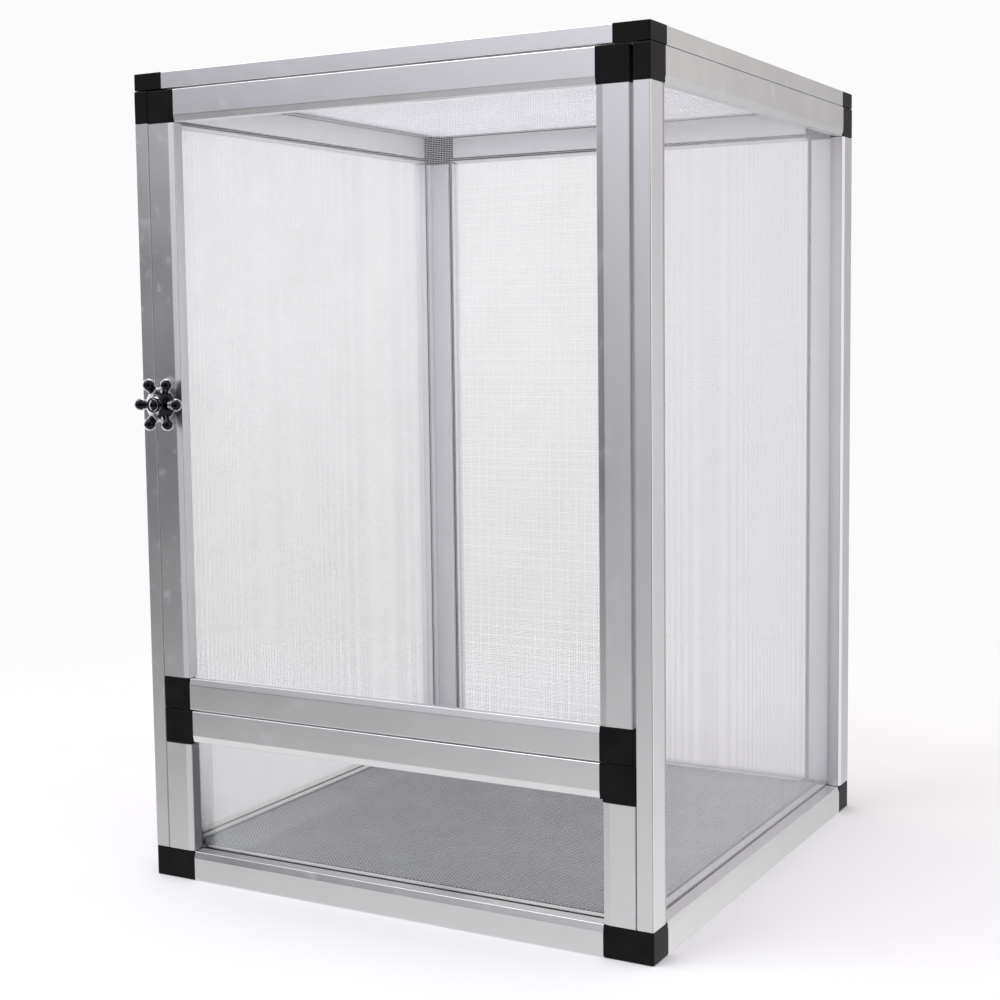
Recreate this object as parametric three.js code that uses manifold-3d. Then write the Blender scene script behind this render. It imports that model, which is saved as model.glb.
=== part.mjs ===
// A small-pet cage of aluminium screen-frame bars with black corner blocks.
// Five framed panels stand on and close a square base, a door swings at the front on two pivot
// pins, and a six-lobed knob turns the latch. Millimetres, +Z up, front towards -Y.
import * as THREE from "three";
import { mergeVertices } from "three/addons/utils/BufferGeometryUtils.js";
import Module from "manifold-3d";

const wasm = await Module();
wasm.setup();

// Overall
const WIDTH = 412;
const DEPTH = 412;
const HEIGHT = 600;
const GAP = 0.3; // between pieces that touch

// Panel bar: u runs across from the outer edge, v through from the outside face
const BAR_W = 23.5;
const BAR_T = 12;
const WALL = 1.2;
const EDGE_R = 0.8;
const FACET = { width: 4.8, drop: 0.9, nose: 0.5 }; // the face slopes back towards the opening
const REBATE_V = 6.5; // the opening edge steps back from here inwards
const LIP_U = 22.3;
const LIP_V = 11;
const GROOVE = { near: 18.4, far: 21.4, floor: 7.6 };
const FLOOR_WALL_V = GROOVE.floor - WALL;

// Base rail: u runs inwards from the outside face, z up
const BASE_H = 22;
const BASE_W = 23.5;
const BASE_GROOVE_Z = 17.6;
const PANEL_SLOT = { near: 10.6, far: 13.6 };
const FLOOR_GROOVE = { near: 19.4, far: 22.4 };
const BASE_LIP_Z = 21;

// Corner blocks and the legs that plug into the bars
const CORNER_R = 1.5;
const LEG_L = 24;
const PIN_CORNER = 25.5; // corners that carry a pivot pin are a little longer
const BASE_CORNER_X = BAR_T + GAP + BAR_W;

// Screens, the clear lower pane, and the hem that sits in the groove
const HEM = 2.4;
const SCREEN_T = 0.7;
const PANE_T = 1.8;
const TONGUE_INSET = BAR_W + 2 * GAP;
const TUCK = 0.05; // faces of joined blocks stay this far inside each other's, so that none coincide

// Front: lower section, door and its gaps
const MIDDLE_TOP = 129.7;
const DOOR_BOTTOM = 130.7;
const DOOR_TOP_GAP = 1;
const LATCH_GAP = 0.4;
const HINGE_GAP = 2.2;
const PIVOT_INSET = 6.5; // pivot axis from the door's hinge edge
const PIVOT_Y = 4.5; // and from its outside face
const PIN_R = 1.5;
const PIN_HOLE_R = 1.8;
const PIN_DEPTH = 7; // of each half of a pin, in its corner block

// Latch, on the middle of the door's free stile
const LATCH_Z = 359;
const SPINDLE_R = 3;
const SPINDLE_HOLE_R = 3.3;
const SPINDLE_TOP_V = 13; // inside the hub's bore, heights being from the door's face
const SPINDLE_TAIL = 1.5; // past the nut
const BORE_V = 14; // the blind end of the hub's bore
const KNOB_REACH = 19; // from the door's face to the knob's cap
const LOBES = 6;
const LOBE_RING_R = 16.6;
const LOBE_R = 4.7;
const LOBE_V = 12;
const ARM = { r: 4.1, rootR: 8, rootV: 8.6 }; // from inside the hub's rim out to each lobe
const CAM = { reach: 18, width: 9, thick: 2, near: 0.6 };
const SLOT = { below: 6, above: 21, near: 12.1, far: 15.4 };
const NUT_R = 5.5;
const NUT_T = 3.2;

// Derived places
const TOP_Z = HEIGHT - BAR_T;
const PANEL_Z = BASE_H + GAP;
const SIDE_H = TOP_Z - GAP - PANEL_Z;
const INNER_X = BAR_T + GAP; // where the front and back panels begin
const INNER_W = WIDTH - 2 * INNER_X;
const DOOR_X = BAR_T + LATCH_GAP;
const DOOR_W = WIDTH - BAR_T - HINGE_GAP - DOOR_X;
const DOOR_H = TOP_Z - DOOR_TOP_GAP - DOOR_BOTTOM;
const PIVOT_X = DOOR_X + DOOR_W - PIVOT_INSET;
const LATCH_X = DOOR_X + BAR_W / 2;
const QUARTER = Math.PI / 2;

const FINISHES = {
  aluminium: { color: 0xc6c6cb, roughness: 0.38, metalness: 0.9 },
  plastic: { color: 0x1b1b1d, roughness: 0.45, metalness: 0 },
  screen: { color: 0xb4b5ba, roughness: 0.45, metalness: 0.7 },
  pane: { color: 0xeef2f4, roughness: 0.05, metalness: 0, transparent: true, opacity: 0.25 },
  chrome: { color: 0xd9d9dc, roughness: 0.08, metalness: 1 },
  steel: { color: 0x9a9ba0, roughness: 0.3, metalness: 1 },
};

// ---------------------------------------------------------------- solids

const point = (x, y, z) => new THREE.Vector3(x, y, z);

function toSolid(geometry) {
  const bare = geometry.clone();
  bare.deleteAttribute("normal");
  bare.deleteAttribute("uv");
  const merged = mergeVertices(bare, 1e-4);
  return new wasm.Manifold(
    new wasm.Mesh({
      numProp: 3,
      vertProperties: new Float32Array(merged.attributes.position.array),
      triVerts: new Uint32Array(merged.index.array),
    }),
  );
}

function toGeometry(solid) {
  const { vertProperties, triVerts } = solid.getMesh();
  const geometry = new THREE.BufferGeometry();
  geometry.setAttribute("position", new THREE.BufferAttribute(vertProperties, 3));
  geometry.setIndex(new THREE.BufferAttribute(triVerts, 1));
  const faceted = geometry.toNonIndexed();
  faceted.computeVertexNormals();
  return faceted;
}

// A box between two opposite corners, given in any order.
function box(a, b) {
  const size = point(Math.abs(b.x - a.x), Math.abs(b.y - a.y), Math.abs(b.z - a.z));
  const middle = a.clone().add(b).multiplyScalar(0.5);
  const geometry = new THREE.BoxGeometry(size.x, size.y, size.z);
  return toSolid(geometry.translate(middle.x, middle.y, middle.z));
}

// A round rod between two points.
function rod(radius, from, to, sides = 24) {
  const along = to.clone().sub(from);
  const middle = from.clone().add(to).multiplyScalar(0.5);
  const geometry = new THREE.CylinderGeometry(radius, radius, along.length(), sides);
  const turn = new THREE.Quaternion().setFromUnitVectors(point(0, 1, 0), along.normalize());
  geometry.applyQuaternion(turn);
  return toSolid(geometry.translate(middle.x, middle.y, middle.z));
}

function extrude(shape, depth, curveSegments = 3) {
  return new THREE.ExtrudeGeometry(shape, { depth, bevelEnabled: false, curveSegments });
}

const without = (solid, cuts) => cuts.reduce((left, cut) => left.subtract(cut), solid);
const joined = (solids) => solids.reduce((whole, next) => whole.add(next));

function piece(name, geometry, finish) {
  const mesh = new THREE.Mesh(geometry, new THREE.MeshStandardMaterial(FINISHES[finish]));
  mesh.name = name;
  return mesh;
}

// ---------------------------------------------------------------- panel bars

// The bar's section: a hollow box whose face slopes back to a lip round the opening, with a spline
// groove on the inside.
function barSection() {
  const s = new THREE.Shape();
  s.moveTo(EDGE_R, 0);
  s.lineTo(BAR_W - FACET.width, 0);
  s.lineTo(BAR_W - FACET.nose, FACET.drop);
  s.lineTo(BAR_W, FACET.drop + FACET.nose);
  s.lineTo(BAR_W, REBATE_V);
  s.lineTo(LIP_U, REBATE_V);
  s.lineTo(LIP_U, LIP_V);
  s.lineTo(GROOVE.far, LIP_V);
  s.lineTo(GROOVE.far, GROOVE.floor);
  s.lineTo(GROOVE.near, GROOVE.floor);
  s.lineTo(GROOVE.near, BAR_T);
  s.lineTo(EDGE_R, BAR_T);
  s.absarc(EDGE_R, BAR_T - EDGE_R, EDGE_R, QUARTER, Math.PI, false);
  s.lineTo(0, EDGE_R);
  s.absarc(EDGE_R, EDGE_R, EDGE_R, Math.PI, 3 * QUARTER, false);
  s.holes.push(barHollow());
  return s;
}

function barHollow() {
  const far = GROOVE.far - WALL / 2;
  const h = new THREE.Path();
  h.moveTo(WALL, WALL);
  h.lineTo(WALL, BAR_T - WALL);
  h.lineTo(GROOVE.near - WALL, BAR_T - WALL);
  h.lineTo(GROOVE.near - WALL, FLOOR_WALL_V);
  h.lineTo(far, FLOOR_WALL_V);
  h.lineTo(far, REBATE_V - WALL);
  h.lineTo(LIP_U - WALL / 4, REBATE_V - WALL);
  h.lineTo(LIP_U - WALL / 4, WALL);
  return h;
}

// A bar of this length, with its outer edge on the local Z axis and its middle at the origin.
function bar(name, length, cuts = []) {
  const geometry = extrude(barSection(), length).translate(0, 0, -length / 2);
  return piece(name, cuts.length ? toGeometry(without(toSolid(geometry), cuts)) : geometry, "aluminium");
}

// Panels lie in their own XY plane with the outside face at Z = 0, seen from outside.
// A side is where a bar's outer edge runs: the turn brings the bar's u axis towards the opening.
const SIDES = { left: 0, bottom: QUARTER, right: 2 * QUARTER, top: -QUARTER };

function layBar(mesh, side, x, y) {
  mesh.position.set(x, y, 0);
  mesh.rotation.set(-QUARTER, 0, SIDES[side], "ZXY");
  return mesh;
}

// ---------------------------------------------------------------- corner blocks

// An L-shaped block whose arms are as wide as a bar and as long as size, rounded at the outer corner.
function blockOutline(size) {
  const s = new THREE.Shape();
  s.moveTo(CORNER_R, 0);
  s.lineTo(size, 0);
  s.lineTo(size, BAR_W);
  s.lineTo(BAR_W, BAR_W);
  s.lineTo(BAR_W, size);
  s.lineTo(0, size);
  s.lineTo(0, CORNER_R);
  s.absarc(CORNER_R, CORNER_R, CORNER_R, Math.PI, 3 * QUARTER, false);
  return s;
}

// A leg along local X (or, with swap, local Y) that fills the bar's hollow with some clearance.
function leg(size, swap) {
  const low = WALL + GAP;
  const wide = GROOVE.near - WALL - GAP;
  const end = size + LEG_L;
  const [a, b] = [point(size - 1, low, -low), point(end, wide, low - BAR_T)];
  return swap ? box(point(a.y, a.x, a.z), point(b.y, b.x, b.z)) : box(a, b);
}

// The pocket that lets the hem and its spline turn the corner.
const hemPocket = (size) =>
  box(point(GROOVE.near, GROOVE.near, -GROOVE.floor), point(size + 1, size + 1, -BAR_T - 1));

// A corner with its outer corner at the origin, arms along +X and +Y and the outside face at Z = 0.
function corner(name, size = BAR_W, cuts = []) {
  const block = extrude(blockOutline(size), BAR_T, 4).translate(0, 0, -BAR_T);
  const body = joined([toSolid(block), leg(size, false), leg(size, true)]);
  return piece(name, toGeometry(without(body, [hemPocket(size), ...cuts])), "plastic");
}

const CORNER_TURNS = { bottomLeft: 0, bottomRight: QUARTER, topRight: 2 * QUARTER, topLeft: -QUARTER };

function layCorner(mesh, place, w, h) {
  mesh.position.set(place.endsWith("Right") ? w : 0, place.startsWith("top") ? h : 0, 0);
  mesh.rotation.z = CORNER_TURNS[place];
  return mesh;
}

// ---------------------------------------------------------------- screens

// A sheet behind the lips whose rim is thick enough to fill the groove. An open foot has no rim
// along the bottom.
function hemmedSheet(low, high, thick, openFoot = false) {
  const [front, back] = [-GROOVE.floor - GAP, -LIP_V - GAP];
  const foot = low.y + (openFoot ? -HEM : HEM);
  const outer = box(point(low.x, low.y, front), point(high.x, high.y, back - thick));
  const inner = box(
    point(low.x + HEM, foot, front + 1),
    point(high.x - HEM, high.y - HEM, back),
  );
  return outer.subtract(inner);
}

// A sheet framed on all four sides.
function framedScreen(name, w, h) {
  const edge = GROOVE.near + GAP;
  const solid = hemmedSheet(point(edge, edge, 0), point(w - edge, h - edge, 0), SCREEN_T);
  return piece(name, toGeometry(solid), "screen");
}

// A sheet framed on three sides, whose bottom tongue stands in the base rail's slot.
function standingScreen(name, w, h, thick, finish) {
  const edge = GROOVE.near + GAP;
  const back = -LIP_V - GAP;
  const foot = BASE_GROOVE_Z - BASE_H;
  const hemmed = hemmedSheet(point(edge, GAP, 0), point(w - edge, h - edge, 0), thick, true);
  const tongue = box(
    point(TONGUE_INSET, foot + TUCK, back - TUCK),
    point(w - TONGUE_INSET, HEM, back - thick + TUCK),
  );
  const bead = box(
    point(TONGUE_INSET + TUCK, foot, -PANEL_SLOT.near - GAP),
    point(w - TONGUE_INSET - TUCK, -2 * GAP, GAP - PANEL_SLOT.far),
  );
  return piece(name, toGeometry(joined([hemmed, tongue, bead])), finish);
}

// ---------------------------------------------------------------- panels

// Two stiles, a top rail, two top corners and a sheet, standing on the base.
function standingPanel(parts) {
  const { w, h, size = BAR_W, names, cuts = {}, thick = SCREEN_T, finish = "screen" } = parts;
  const stile = h - size - GAP;
  const panel = new THREE.Group();
  panel.add(
    layBar(bar(names.leftStile, stile, cuts.leftStile), "left", 0, stile / 2),
    layBar(bar(names.rightStile, stile, cuts.rightStile), "right", w, stile / 2),
    layBar(bar(names.topRail, w - 2 * (size + GAP)), "top", w / 2, h),
    layCorner(corner(names.leftCorner, size, cuts.leftCorner), "topLeft", w, h),
    layCorner(corner(names.rightCorner, size, cuts.rightCorner), "topRight", w, h),
    standingScreen(names.sheet, w, h, thick, finish),
  );
  return panel;
}

// Four bars, four corners and a screen.
function framedPanel({ w, h, size = BAR_W, names, cuts = {} }) {
  const panel = new THREE.Group();
  const across = w - 2 * (size + GAP);
  const upright = h - 2 * (size + GAP);
  panel.add(
    layBar(bar(names.left, upright, cuts.left), "left", 0, h / 2),
    layBar(bar(names.right, upright), "right", w, h / 2),
    layBar(bar(names.bottom, across), "bottom", w / 2, 0),
    layBar(bar(names.top, across), "top", w / 2, h),
    framedScreen(names.sheet, w, h),
  );
  for (const place of Object.keys(CORNER_TURNS)) {
    panel.add(layCorner(corner(names[place], size, cuts[place]), place, w, h));
  }
  return panel;
}

// Turns a panel upright: its X goes along the wall, seen from outside, and its Y goes up.
function stand(panel, x, y, z, yaw) {
  panel.position.set(x, y, z);
  panel.rotation.set(QUARTER, 0, yaw, "ZXY");
  return panel;
}

// The slot that takes the latch's tongue, in the front stile's own u, v and length, which runs down.
function latchSlot() {
  const middle = PANEL_Z + (SIDE_H - BAR_W - GAP) / 2;
  return box(
    point(SLOT.near, BAR_T - 2 * WALL, middle - LATCH_Z + SLOT.below),
    point(SLOT.far, BAR_T + 1, middle - LATCH_Z - SLOT.above),
  );
}

function leftPanel() {
  const panel = standingPanel({
    w: DEPTH,
    h: SIDE_H,
    names: {
      leftStile: "left_stile_rear",
      rightStile: "left_stile_front",
      topRail: "left_top_rail",
      leftCorner: "left_corner_rear",
      rightCorner: "left_corner_front",
      sheet: "left_screen",
    },
    cuts: { rightStile: [latchSlot()] },
  });
  return stand(panel, 0, DEPTH, PANEL_Z, -QUARTER);
}

function rightPanel() {
  const panel = standingPanel({
    w: DEPTH,
    h: SIDE_H,
    names: {
      leftStile: "right_stile_front",
      rightStile: "right_stile_rear",
      topRail: "right_top_rail",
      leftCorner: "right_corner_front",
      rightCorner: "right_corner_rear",
      sheet: "right_screen",
    },
  });
  return stand(panel, WIDTH, 0, PANEL_Z, QUARTER);
}

function backPanel() {
  const panel = standingPanel({
    w: INNER_W,
    h: SIDE_H,
    names: {
      leftStile: "back_stile_right",
      rightStile: "back_stile_left",
      topRail: "back_top_rail",
      leftCorner: "back_corner_right",
      rightCorner: "back_corner_left",
      sheet: "back_screen",
    },
  });
  return stand(panel, WIDTH - INNER_X, DEPTH, PANEL_Z, 2 * QUARTER);
}

// The fixed lower front, with a clear pane. Its right-hand connector takes the lower pivot pin.
function lowerFront() {
  const fromEdge = WIDTH - INNER_X - PIVOT_X;
  const pinHole = rod(
    PIN_HOLE_R,
    point(fromEdge, -1, -PIVOT_Y),
    point(fromEdge, PIN_DEPTH + GAP, -PIVOT_Y),
  );
  const panel = standingPanel({
    w: INNER_W,
    h: MIDDLE_TOP - PANEL_Z,
    size: PIN_CORNER,
    thick: PANE_T,
    finish: "pane",
    names: {
      leftStile: "lower_stile_left",
      rightStile: "lower_stile_right",
      topRail: "middle_rail",
      leftCorner: "middle_connector_left",
      rightCorner: "middle_connector_right",
      sheet: "lower_pane",
    },
    cuts: { rightCorner: [pinHole] },
  });
  return stand(panel, INNER_X, 0, PANEL_Z, 0);
}

// The lid lies flat on the walls. Its front right corner takes the upper pivot pin from below.
function topPanel() {
  const at = point(PIVOT_Y, WIDTH - PIVOT_X, 0);
  const pinHole = rod(
    PIN_HOLE_R,
    point(at.x, at.y, -BAR_T - 1),
    point(at.x, at.y, PIN_DEPTH + GAP - BAR_T),
  );
  const panel = framedPanel({
    w: WIDTH,
    h: DEPTH,
    size: PIN_CORNER,
    names: {
      left: "top_rail_left",
      right: "top_rail_right",
      bottom: "top_rail_front",
      top: "top_rail_rear",
      bottomLeft: "top_corner_front_left",
      bottomRight: "top_corner_front_right",
      topLeft: "top_corner_rear_left",
      topRight: "top_corner_rear_right",
      sheet: "top_screen",
    },
    cuts: { bottomRight: [pinHole] },
  });
  panel.position.z = HEIGHT;
  return panel;
}

// ---------------------------------------------------------------- base

function baseSection() {
  const s = new THREE.Shape();
  s.moveTo(EDGE_R, 0);
  s.lineTo(BASE_W, 0);
  s.lineTo(BASE_W, BASE_LIP_Z);
  s.lineTo(FLOOR_GROOVE.far, BASE_LIP_Z);
  s.lineTo(FLOOR_GROOVE.far, BASE_GROOVE_Z);
  s.lineTo(FLOOR_GROOVE.near, BASE_GROOVE_Z);
  s.lineTo(FLOOR_GROOVE.near, BASE_H);
  s.lineTo(PANEL_SLOT.far, BASE_H);
  s.lineTo(PANEL_SLOT.far, BASE_GROOVE_Z);
  s.lineTo(PANEL_SLOT.near, BASE_GROOVE_Z);
  s.lineTo(PANEL_SLOT.near, BASE_H);
  s.lineTo(FACET.drop + FACET.nose, BASE_H);
  s.lineTo(FACET.drop, BASE_H - FACET.nose);
  s.lineTo(0, BASE_H - FACET.width);
  s.lineTo(0, EDGE_R);
  s.absarc(EDGE_R, EDGE_R, EDGE_R, Math.PI, 3 * QUARTER, false);
  s.holes.push(baseHollow());
  return s;
}

function baseHollow() {
  const under = BASE_GROOVE_Z - WALL;
  const h = new THREE.Path();
  h.moveTo(WALL, WALL);
  h.lineTo(WALL, BASE_H - WALL);
  h.lineTo(PANEL_SLOT.near - WALL, BASE_H - WALL);
  h.lineTo(PANEL_SLOT.near - WALL, under);
  h.lineTo(BASE_W - WALL, under);
  h.lineTo(BASE_W - WALL, WALL);
  return h;
}

// A base rail whose outside face looks along its own -X before it is turned by yaw.
function baseRail(name, length, x, y, yaw) {
  const mesh = piece(name, extrude(baseSection(), length).translate(0, 0, -length / 2), "aluminium");
  mesh.position.set(x, y, 0);
  mesh.rotation.set(QUARTER, 0, yaw, "ZXY");
  return mesh;
}

// The block's plan, mirrored in X when side is -1.
function baseBlockOutline(side) {
  const s = new THREE.Shape();
  s.moveTo(side * CORNER_R, 0);
  s.lineTo(side * BASE_CORNER_X, 0);
  s.lineTo(side * BASE_CORNER_X, BASE_W);
  s.lineTo(0, BASE_W);
  s.lineTo(0, CORNER_R);
  s.quadraticCurveTo(0, 0, side * CORNER_R, 0);
  return s;
}

// Legs run along the front (or back), along the side, and up into the two stiles above.
function baseCorner(name, side, x, y, yaw) {
  const low = WALL + GAP;
  const [upTo, into] = [BASE_H + LEG_L, BASE_GROOVE_Z - WALL - GAP];
  const [wide, thick] = [GROOVE.near - WALL - GAP, BAR_T - WALL - GAP];
  const inner = BASE_W - WALL - GAP;
  const span = (x0, x1, y0, y1, z0, z1) => box(point(side * x0, y0, z0), point(side * x1, y1, z1));
  const body = joined([
    toSolid(extrude(baseBlockOutline(side), BASE_H, 4)),
    span(BASE_CORNER_X - 1, BASE_CORNER_X + LEG_L, low, inner, low, into),
    span(low, inner, BASE_W - 1, BASE_W + LEG_L, low, into),
    span(low, thick, low, wide, BASE_H - 1, upTo),
    span(INNER_X + low, INNER_X + wide, low, thick, BASE_H - 1, upTo),
  ]);
  const pocket = span(
    FLOOR_GROOVE.near,
    BASE_CORNER_X + 1,
    FLOOR_GROOVE.near,
    BASE_W + 1,
    BASE_GROOVE_Z,
    BASE_H + 1,
  );
  const mesh = piece(name, toGeometry(body.subtract(pocket)), "plastic");
  mesh.position.set(x, y, 0);
  mesh.rotation.z = yaw;
  return mesh;
}

// The floor screen lies on the rails' inner lips, with its hem down in their grooves.
function floorScreen() {
  const edge = FLOOR_GROOVE.near + GAP;
  const [under, lip] = [BASE_GROOVE_Z + GAP, BASE_LIP_Z + GAP];
  const outer = box(point(edge, edge, under), point(WIDTH - edge, DEPTH - edge, BASE_H));
  const inner = box(
    point(edge + HEM, edge + HEM, under - 1),
    point(WIDTH - edge - HEM, DEPTH - edge - HEM, lip),
  );
  return piece("floor_screen", toGeometry(outer.subtract(inner)), "screen");
}

function base() {
  const across = WIDTH - 2 * (BASE_CORNER_X + GAP);
  const along = DEPTH - 2 * (BASE_W + GAP);
  const group = new THREE.Group();
  group.add(
    baseRail("base_rail_front", across, WIDTH / 2, 0, QUARTER),
    baseRail("base_rail_rear", across, WIDTH / 2, DEPTH, -QUARTER),
    baseRail("base_rail_left", along, 0, DEPTH / 2, 0),
    baseRail("base_rail_right", along, WIDTH, DEPTH / 2, 2 * QUARTER),
    baseCorner("base_corner_front_left", 1, 0, 0, 0),
    baseCorner("base_corner_front_right", -1, WIDTH, 0, 0),
    baseCorner("base_corner_rear_right", 1, WIDTH, DEPTH, 2 * QUARTER),
    baseCorner("base_corner_rear_left", -1, 0, DEPTH, 2 * QUARTER),
    floorScreen(),
  );
  return group;
}

// ---------------------------------------------------------------- door and latch

// Turning a corner by a quarter swaps which of its axes runs along the hinge edge.
function door() {
  const spindleHole = rod(
    SPINDLE_HOLE_R,
    point(BAR_W / 2, -1, LATCH_Z - DOOR_BOTTOM - DOOR_H / 2),
    point(BAR_W / 2, BAR_T + 1, LATCH_Z - DOOR_BOTTOM - DOOR_H / 2),
  );
  const depth = PIN_DEPTH + GAP;
  const topHole = rod(
    PIN_HOLE_R,
    point(PIVOT_INSET, -1, -PIVOT_Y),
    point(PIVOT_INSET, depth, -PIVOT_Y),
  );
  const bottomHole = rod(
    PIN_HOLE_R,
    point(-1, PIVOT_INSET, -PIVOT_Y),
    point(depth, PIVOT_INSET, -PIVOT_Y),
  );
  const panel = framedPanel({
    w: DOOR_W,
    h: DOOR_H,
    names: {
      left: "door_stile_latch",
      right: "door_stile_hinge",
      bottom: "door_rail_bottom",
      top: "door_rail_top",
      bottomLeft: "door_corner_bottom_left",
      bottomRight: "door_corner_bottom_right",
      topLeft: "door_corner_top_left",
      topRight: "door_corner_top_right",
      sheet: "door_screen",
    },
    cuts: { left: [spindleHole], topRight: [topHole], bottomRight: [bottomHole] },
  });
  return stand(panel, DOOR_X, 0, DOOR_BOTTOM, 0);
}

// Each pin is half in the door's corner and half in the block above or below it.
function pivotPin(name, z) {
  const geometry = new THREE.CylinderGeometry(PIN_R, PIN_R, 2 * PIN_DEPTH, 24).rotateX(QUARTER);
  const mesh = piece(name, geometry, "steel");
  mesh.position.set(PIVOT_X, PIVOT_Y, z);
  return mesh;
}

// The hub's outline from the axis outwards, as [radius, height above the stile's face].
function hubProfile() {
  const bore = SPINDLE_R + GAP;
  const points = [
    [0, BORE_V],
    [bore, BORE_V],
    [bore, 1],
    [7.5, 1],
    [7.5, 2.5],
    [5.2, 3.4],
    [5.2, 5],
    [11.4, 6.6],
    [12.8, 8],
    [12.8, 9.4],
    [11.4, 12.2],
    [9, 14.2],
    [6.2, 15.2],
    [6.2, 17.7],
    [5.2, 18.6],
    [0, KNOB_REACH],
  ];
  return points.map(([r, h]) => new THREE.Vector2(r, h));
}

// The knob's own Y axis points out of the door: a turned hub with six ball-ended arms.
function knob() {
  const hub = toSolid(new THREE.LatheGeometry(hubProfile(), 32));
  const arms = [];
  for (let i = 0; i < LOBES; i++) {
    const angle = (i * 2 * Math.PI) / LOBES;
    const out = point(Math.cos(angle), 0, Math.sin(angle));
    const from = out.clone().multiplyScalar(ARM.rootR).setY(ARM.rootV);
    const to = out.clone().multiplyScalar(LOBE_RING_R).setY(LOBE_V);
    const ball = new THREE.SphereGeometry(LOBE_R, 14, 9).translate(to.x, to.y, to.z);
    arms.push(rod(ARM.r, from, to, 10), toSolid(ball));
  }
  return piece("latch_knob", toGeometry(joined([hub, ...arms])), "chrome");
}

// A flat tongue that points up with the latch open. Local Y points out of the door.
function cam() {
  const { reach, width, thick } = CAM;
  const half = width / 2;
  const s = new THREE.Shape();
  s.moveTo(half, 0);
  s.lineTo(half, reach - half / 2);
  s.quadraticCurveTo(half, reach, half / 2, reach);
  s.lineTo(-half / 2, reach);
  s.quadraticCurveTo(-half, reach, -half, reach - half / 2);
  s.lineTo(-half, 0);
  s.absarc(0, 0, half, Math.PI, 2 * Math.PI, false);
  const hole = new THREE.Path();
  hole.absarc(0, 0, SPINDLE_R + GAP, 0, 2 * Math.PI, true);
  s.holes.push(hole);
  return piece("latch_cam", extrude(s, thick, 10).rotateX(QUARTER), "steel");
}

function nut() {
  const outer = new THREE.CylinderGeometry(NUT_R, NUT_R, NUT_T, 6).translate(0, -NUT_T / 2, 0);
  const hole = rod(SPINDLE_R + GAP, point(0, -NUT_T - 1, 0), point(0, 1, 0));
  return piece("latch_nut", toGeometry(toSolid(outer).subtract(hole)), "steel");
}

// The spindle runs from inside the knob's hub, through the stile, to just behind the nut.
function latch() {
  const camTop = -BAR_T - CAM.near;
  const nutTop = camTop - CAM.thick - GAP;
  const tail = nutTop - NUT_T - SPINDLE_TAIL;
  const length = SPINDLE_TOP_V - tail;
  const shaft = new THREE.CylinderGeometry(SPINDLE_R, SPINDLE_R, length, 24);
  const spindle = piece("latch_spindle", shaft.translate(0, tail + length / 2, 0), "steel");
  const [tongue, back] = [cam(), nut()];
  tongue.position.y = camTop;
  back.position.y = nutTop;
  const group = new THREE.Group();
  group.add(knob(), spindle, tongue, back);
  group.position.set(LATCH_X, 0, LATCH_Z);
  group.rotation.z = Math.PI;
  return group;
}

// ---------------------------------------------------------------- assembly

const cage = new THREE.Group();
cage.add(base(), leftPanel(), rightPanel(), backPanel(), topPanel(), lowerFront(), door());
cage.add(pivotPin("pivot_pin_top", TOP_Z - DOOR_TOP_GAP / 2));
cage.add(pivotPin("pivot_pin_bottom", (MIDDLE_TOP + DOOR_BOTTOM) / 2), latch());

// The origin is under the middle of the whole, knob included.
cage.position.set(-WIDTH / 2, (KNOB_REACH - DEPTH) / 2, 0);

const root = new THREE.Group();
root.add(cage);
export default root;
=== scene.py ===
"""The looks of a screened small-pet cage: satin extrusions, black corner blocks and woven wire.

Every piece is in metres, in the model's own frame. Bars, wire cloth, spline cords, the clear pane,
the knob, its spindle and the pivot pins are new surfaces; corner blocks, tongue and nut are softened
copies of the model's own solids.
"""

import logging
import math
from dataclasses import dataclass, field
from enum import Enum

import bmesh
import bpy
import numpy as np
from mathutils import Matrix, Vector
from mathutils.geometry import tessellate_polygon


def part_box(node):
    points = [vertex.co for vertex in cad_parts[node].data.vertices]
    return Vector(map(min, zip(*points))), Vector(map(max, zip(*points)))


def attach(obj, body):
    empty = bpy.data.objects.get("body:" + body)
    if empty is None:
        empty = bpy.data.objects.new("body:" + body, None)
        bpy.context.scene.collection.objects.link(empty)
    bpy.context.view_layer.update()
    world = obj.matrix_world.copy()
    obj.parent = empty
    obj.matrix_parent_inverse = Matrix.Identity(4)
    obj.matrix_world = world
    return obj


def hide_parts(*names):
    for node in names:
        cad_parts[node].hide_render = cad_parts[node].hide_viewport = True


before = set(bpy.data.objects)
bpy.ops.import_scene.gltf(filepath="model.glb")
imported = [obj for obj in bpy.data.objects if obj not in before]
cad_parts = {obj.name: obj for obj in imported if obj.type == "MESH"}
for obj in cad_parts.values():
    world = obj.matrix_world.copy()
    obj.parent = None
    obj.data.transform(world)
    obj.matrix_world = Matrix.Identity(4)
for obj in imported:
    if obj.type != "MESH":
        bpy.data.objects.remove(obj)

LOG = logging.getLogger("cage")
MM = 0.001
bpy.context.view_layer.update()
ARC_STEPS = 6
WIRE_SIDES = 6
CORD_SIDES = 12
DOUBLES = 0.01 * MM
FLOOR_PITCH = 3.2 * MM
MIX_FIRST, MIX_SECOND, MIX_RESULT = 6, 7, 2


# ------------------------------------------------------------------ directions


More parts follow.
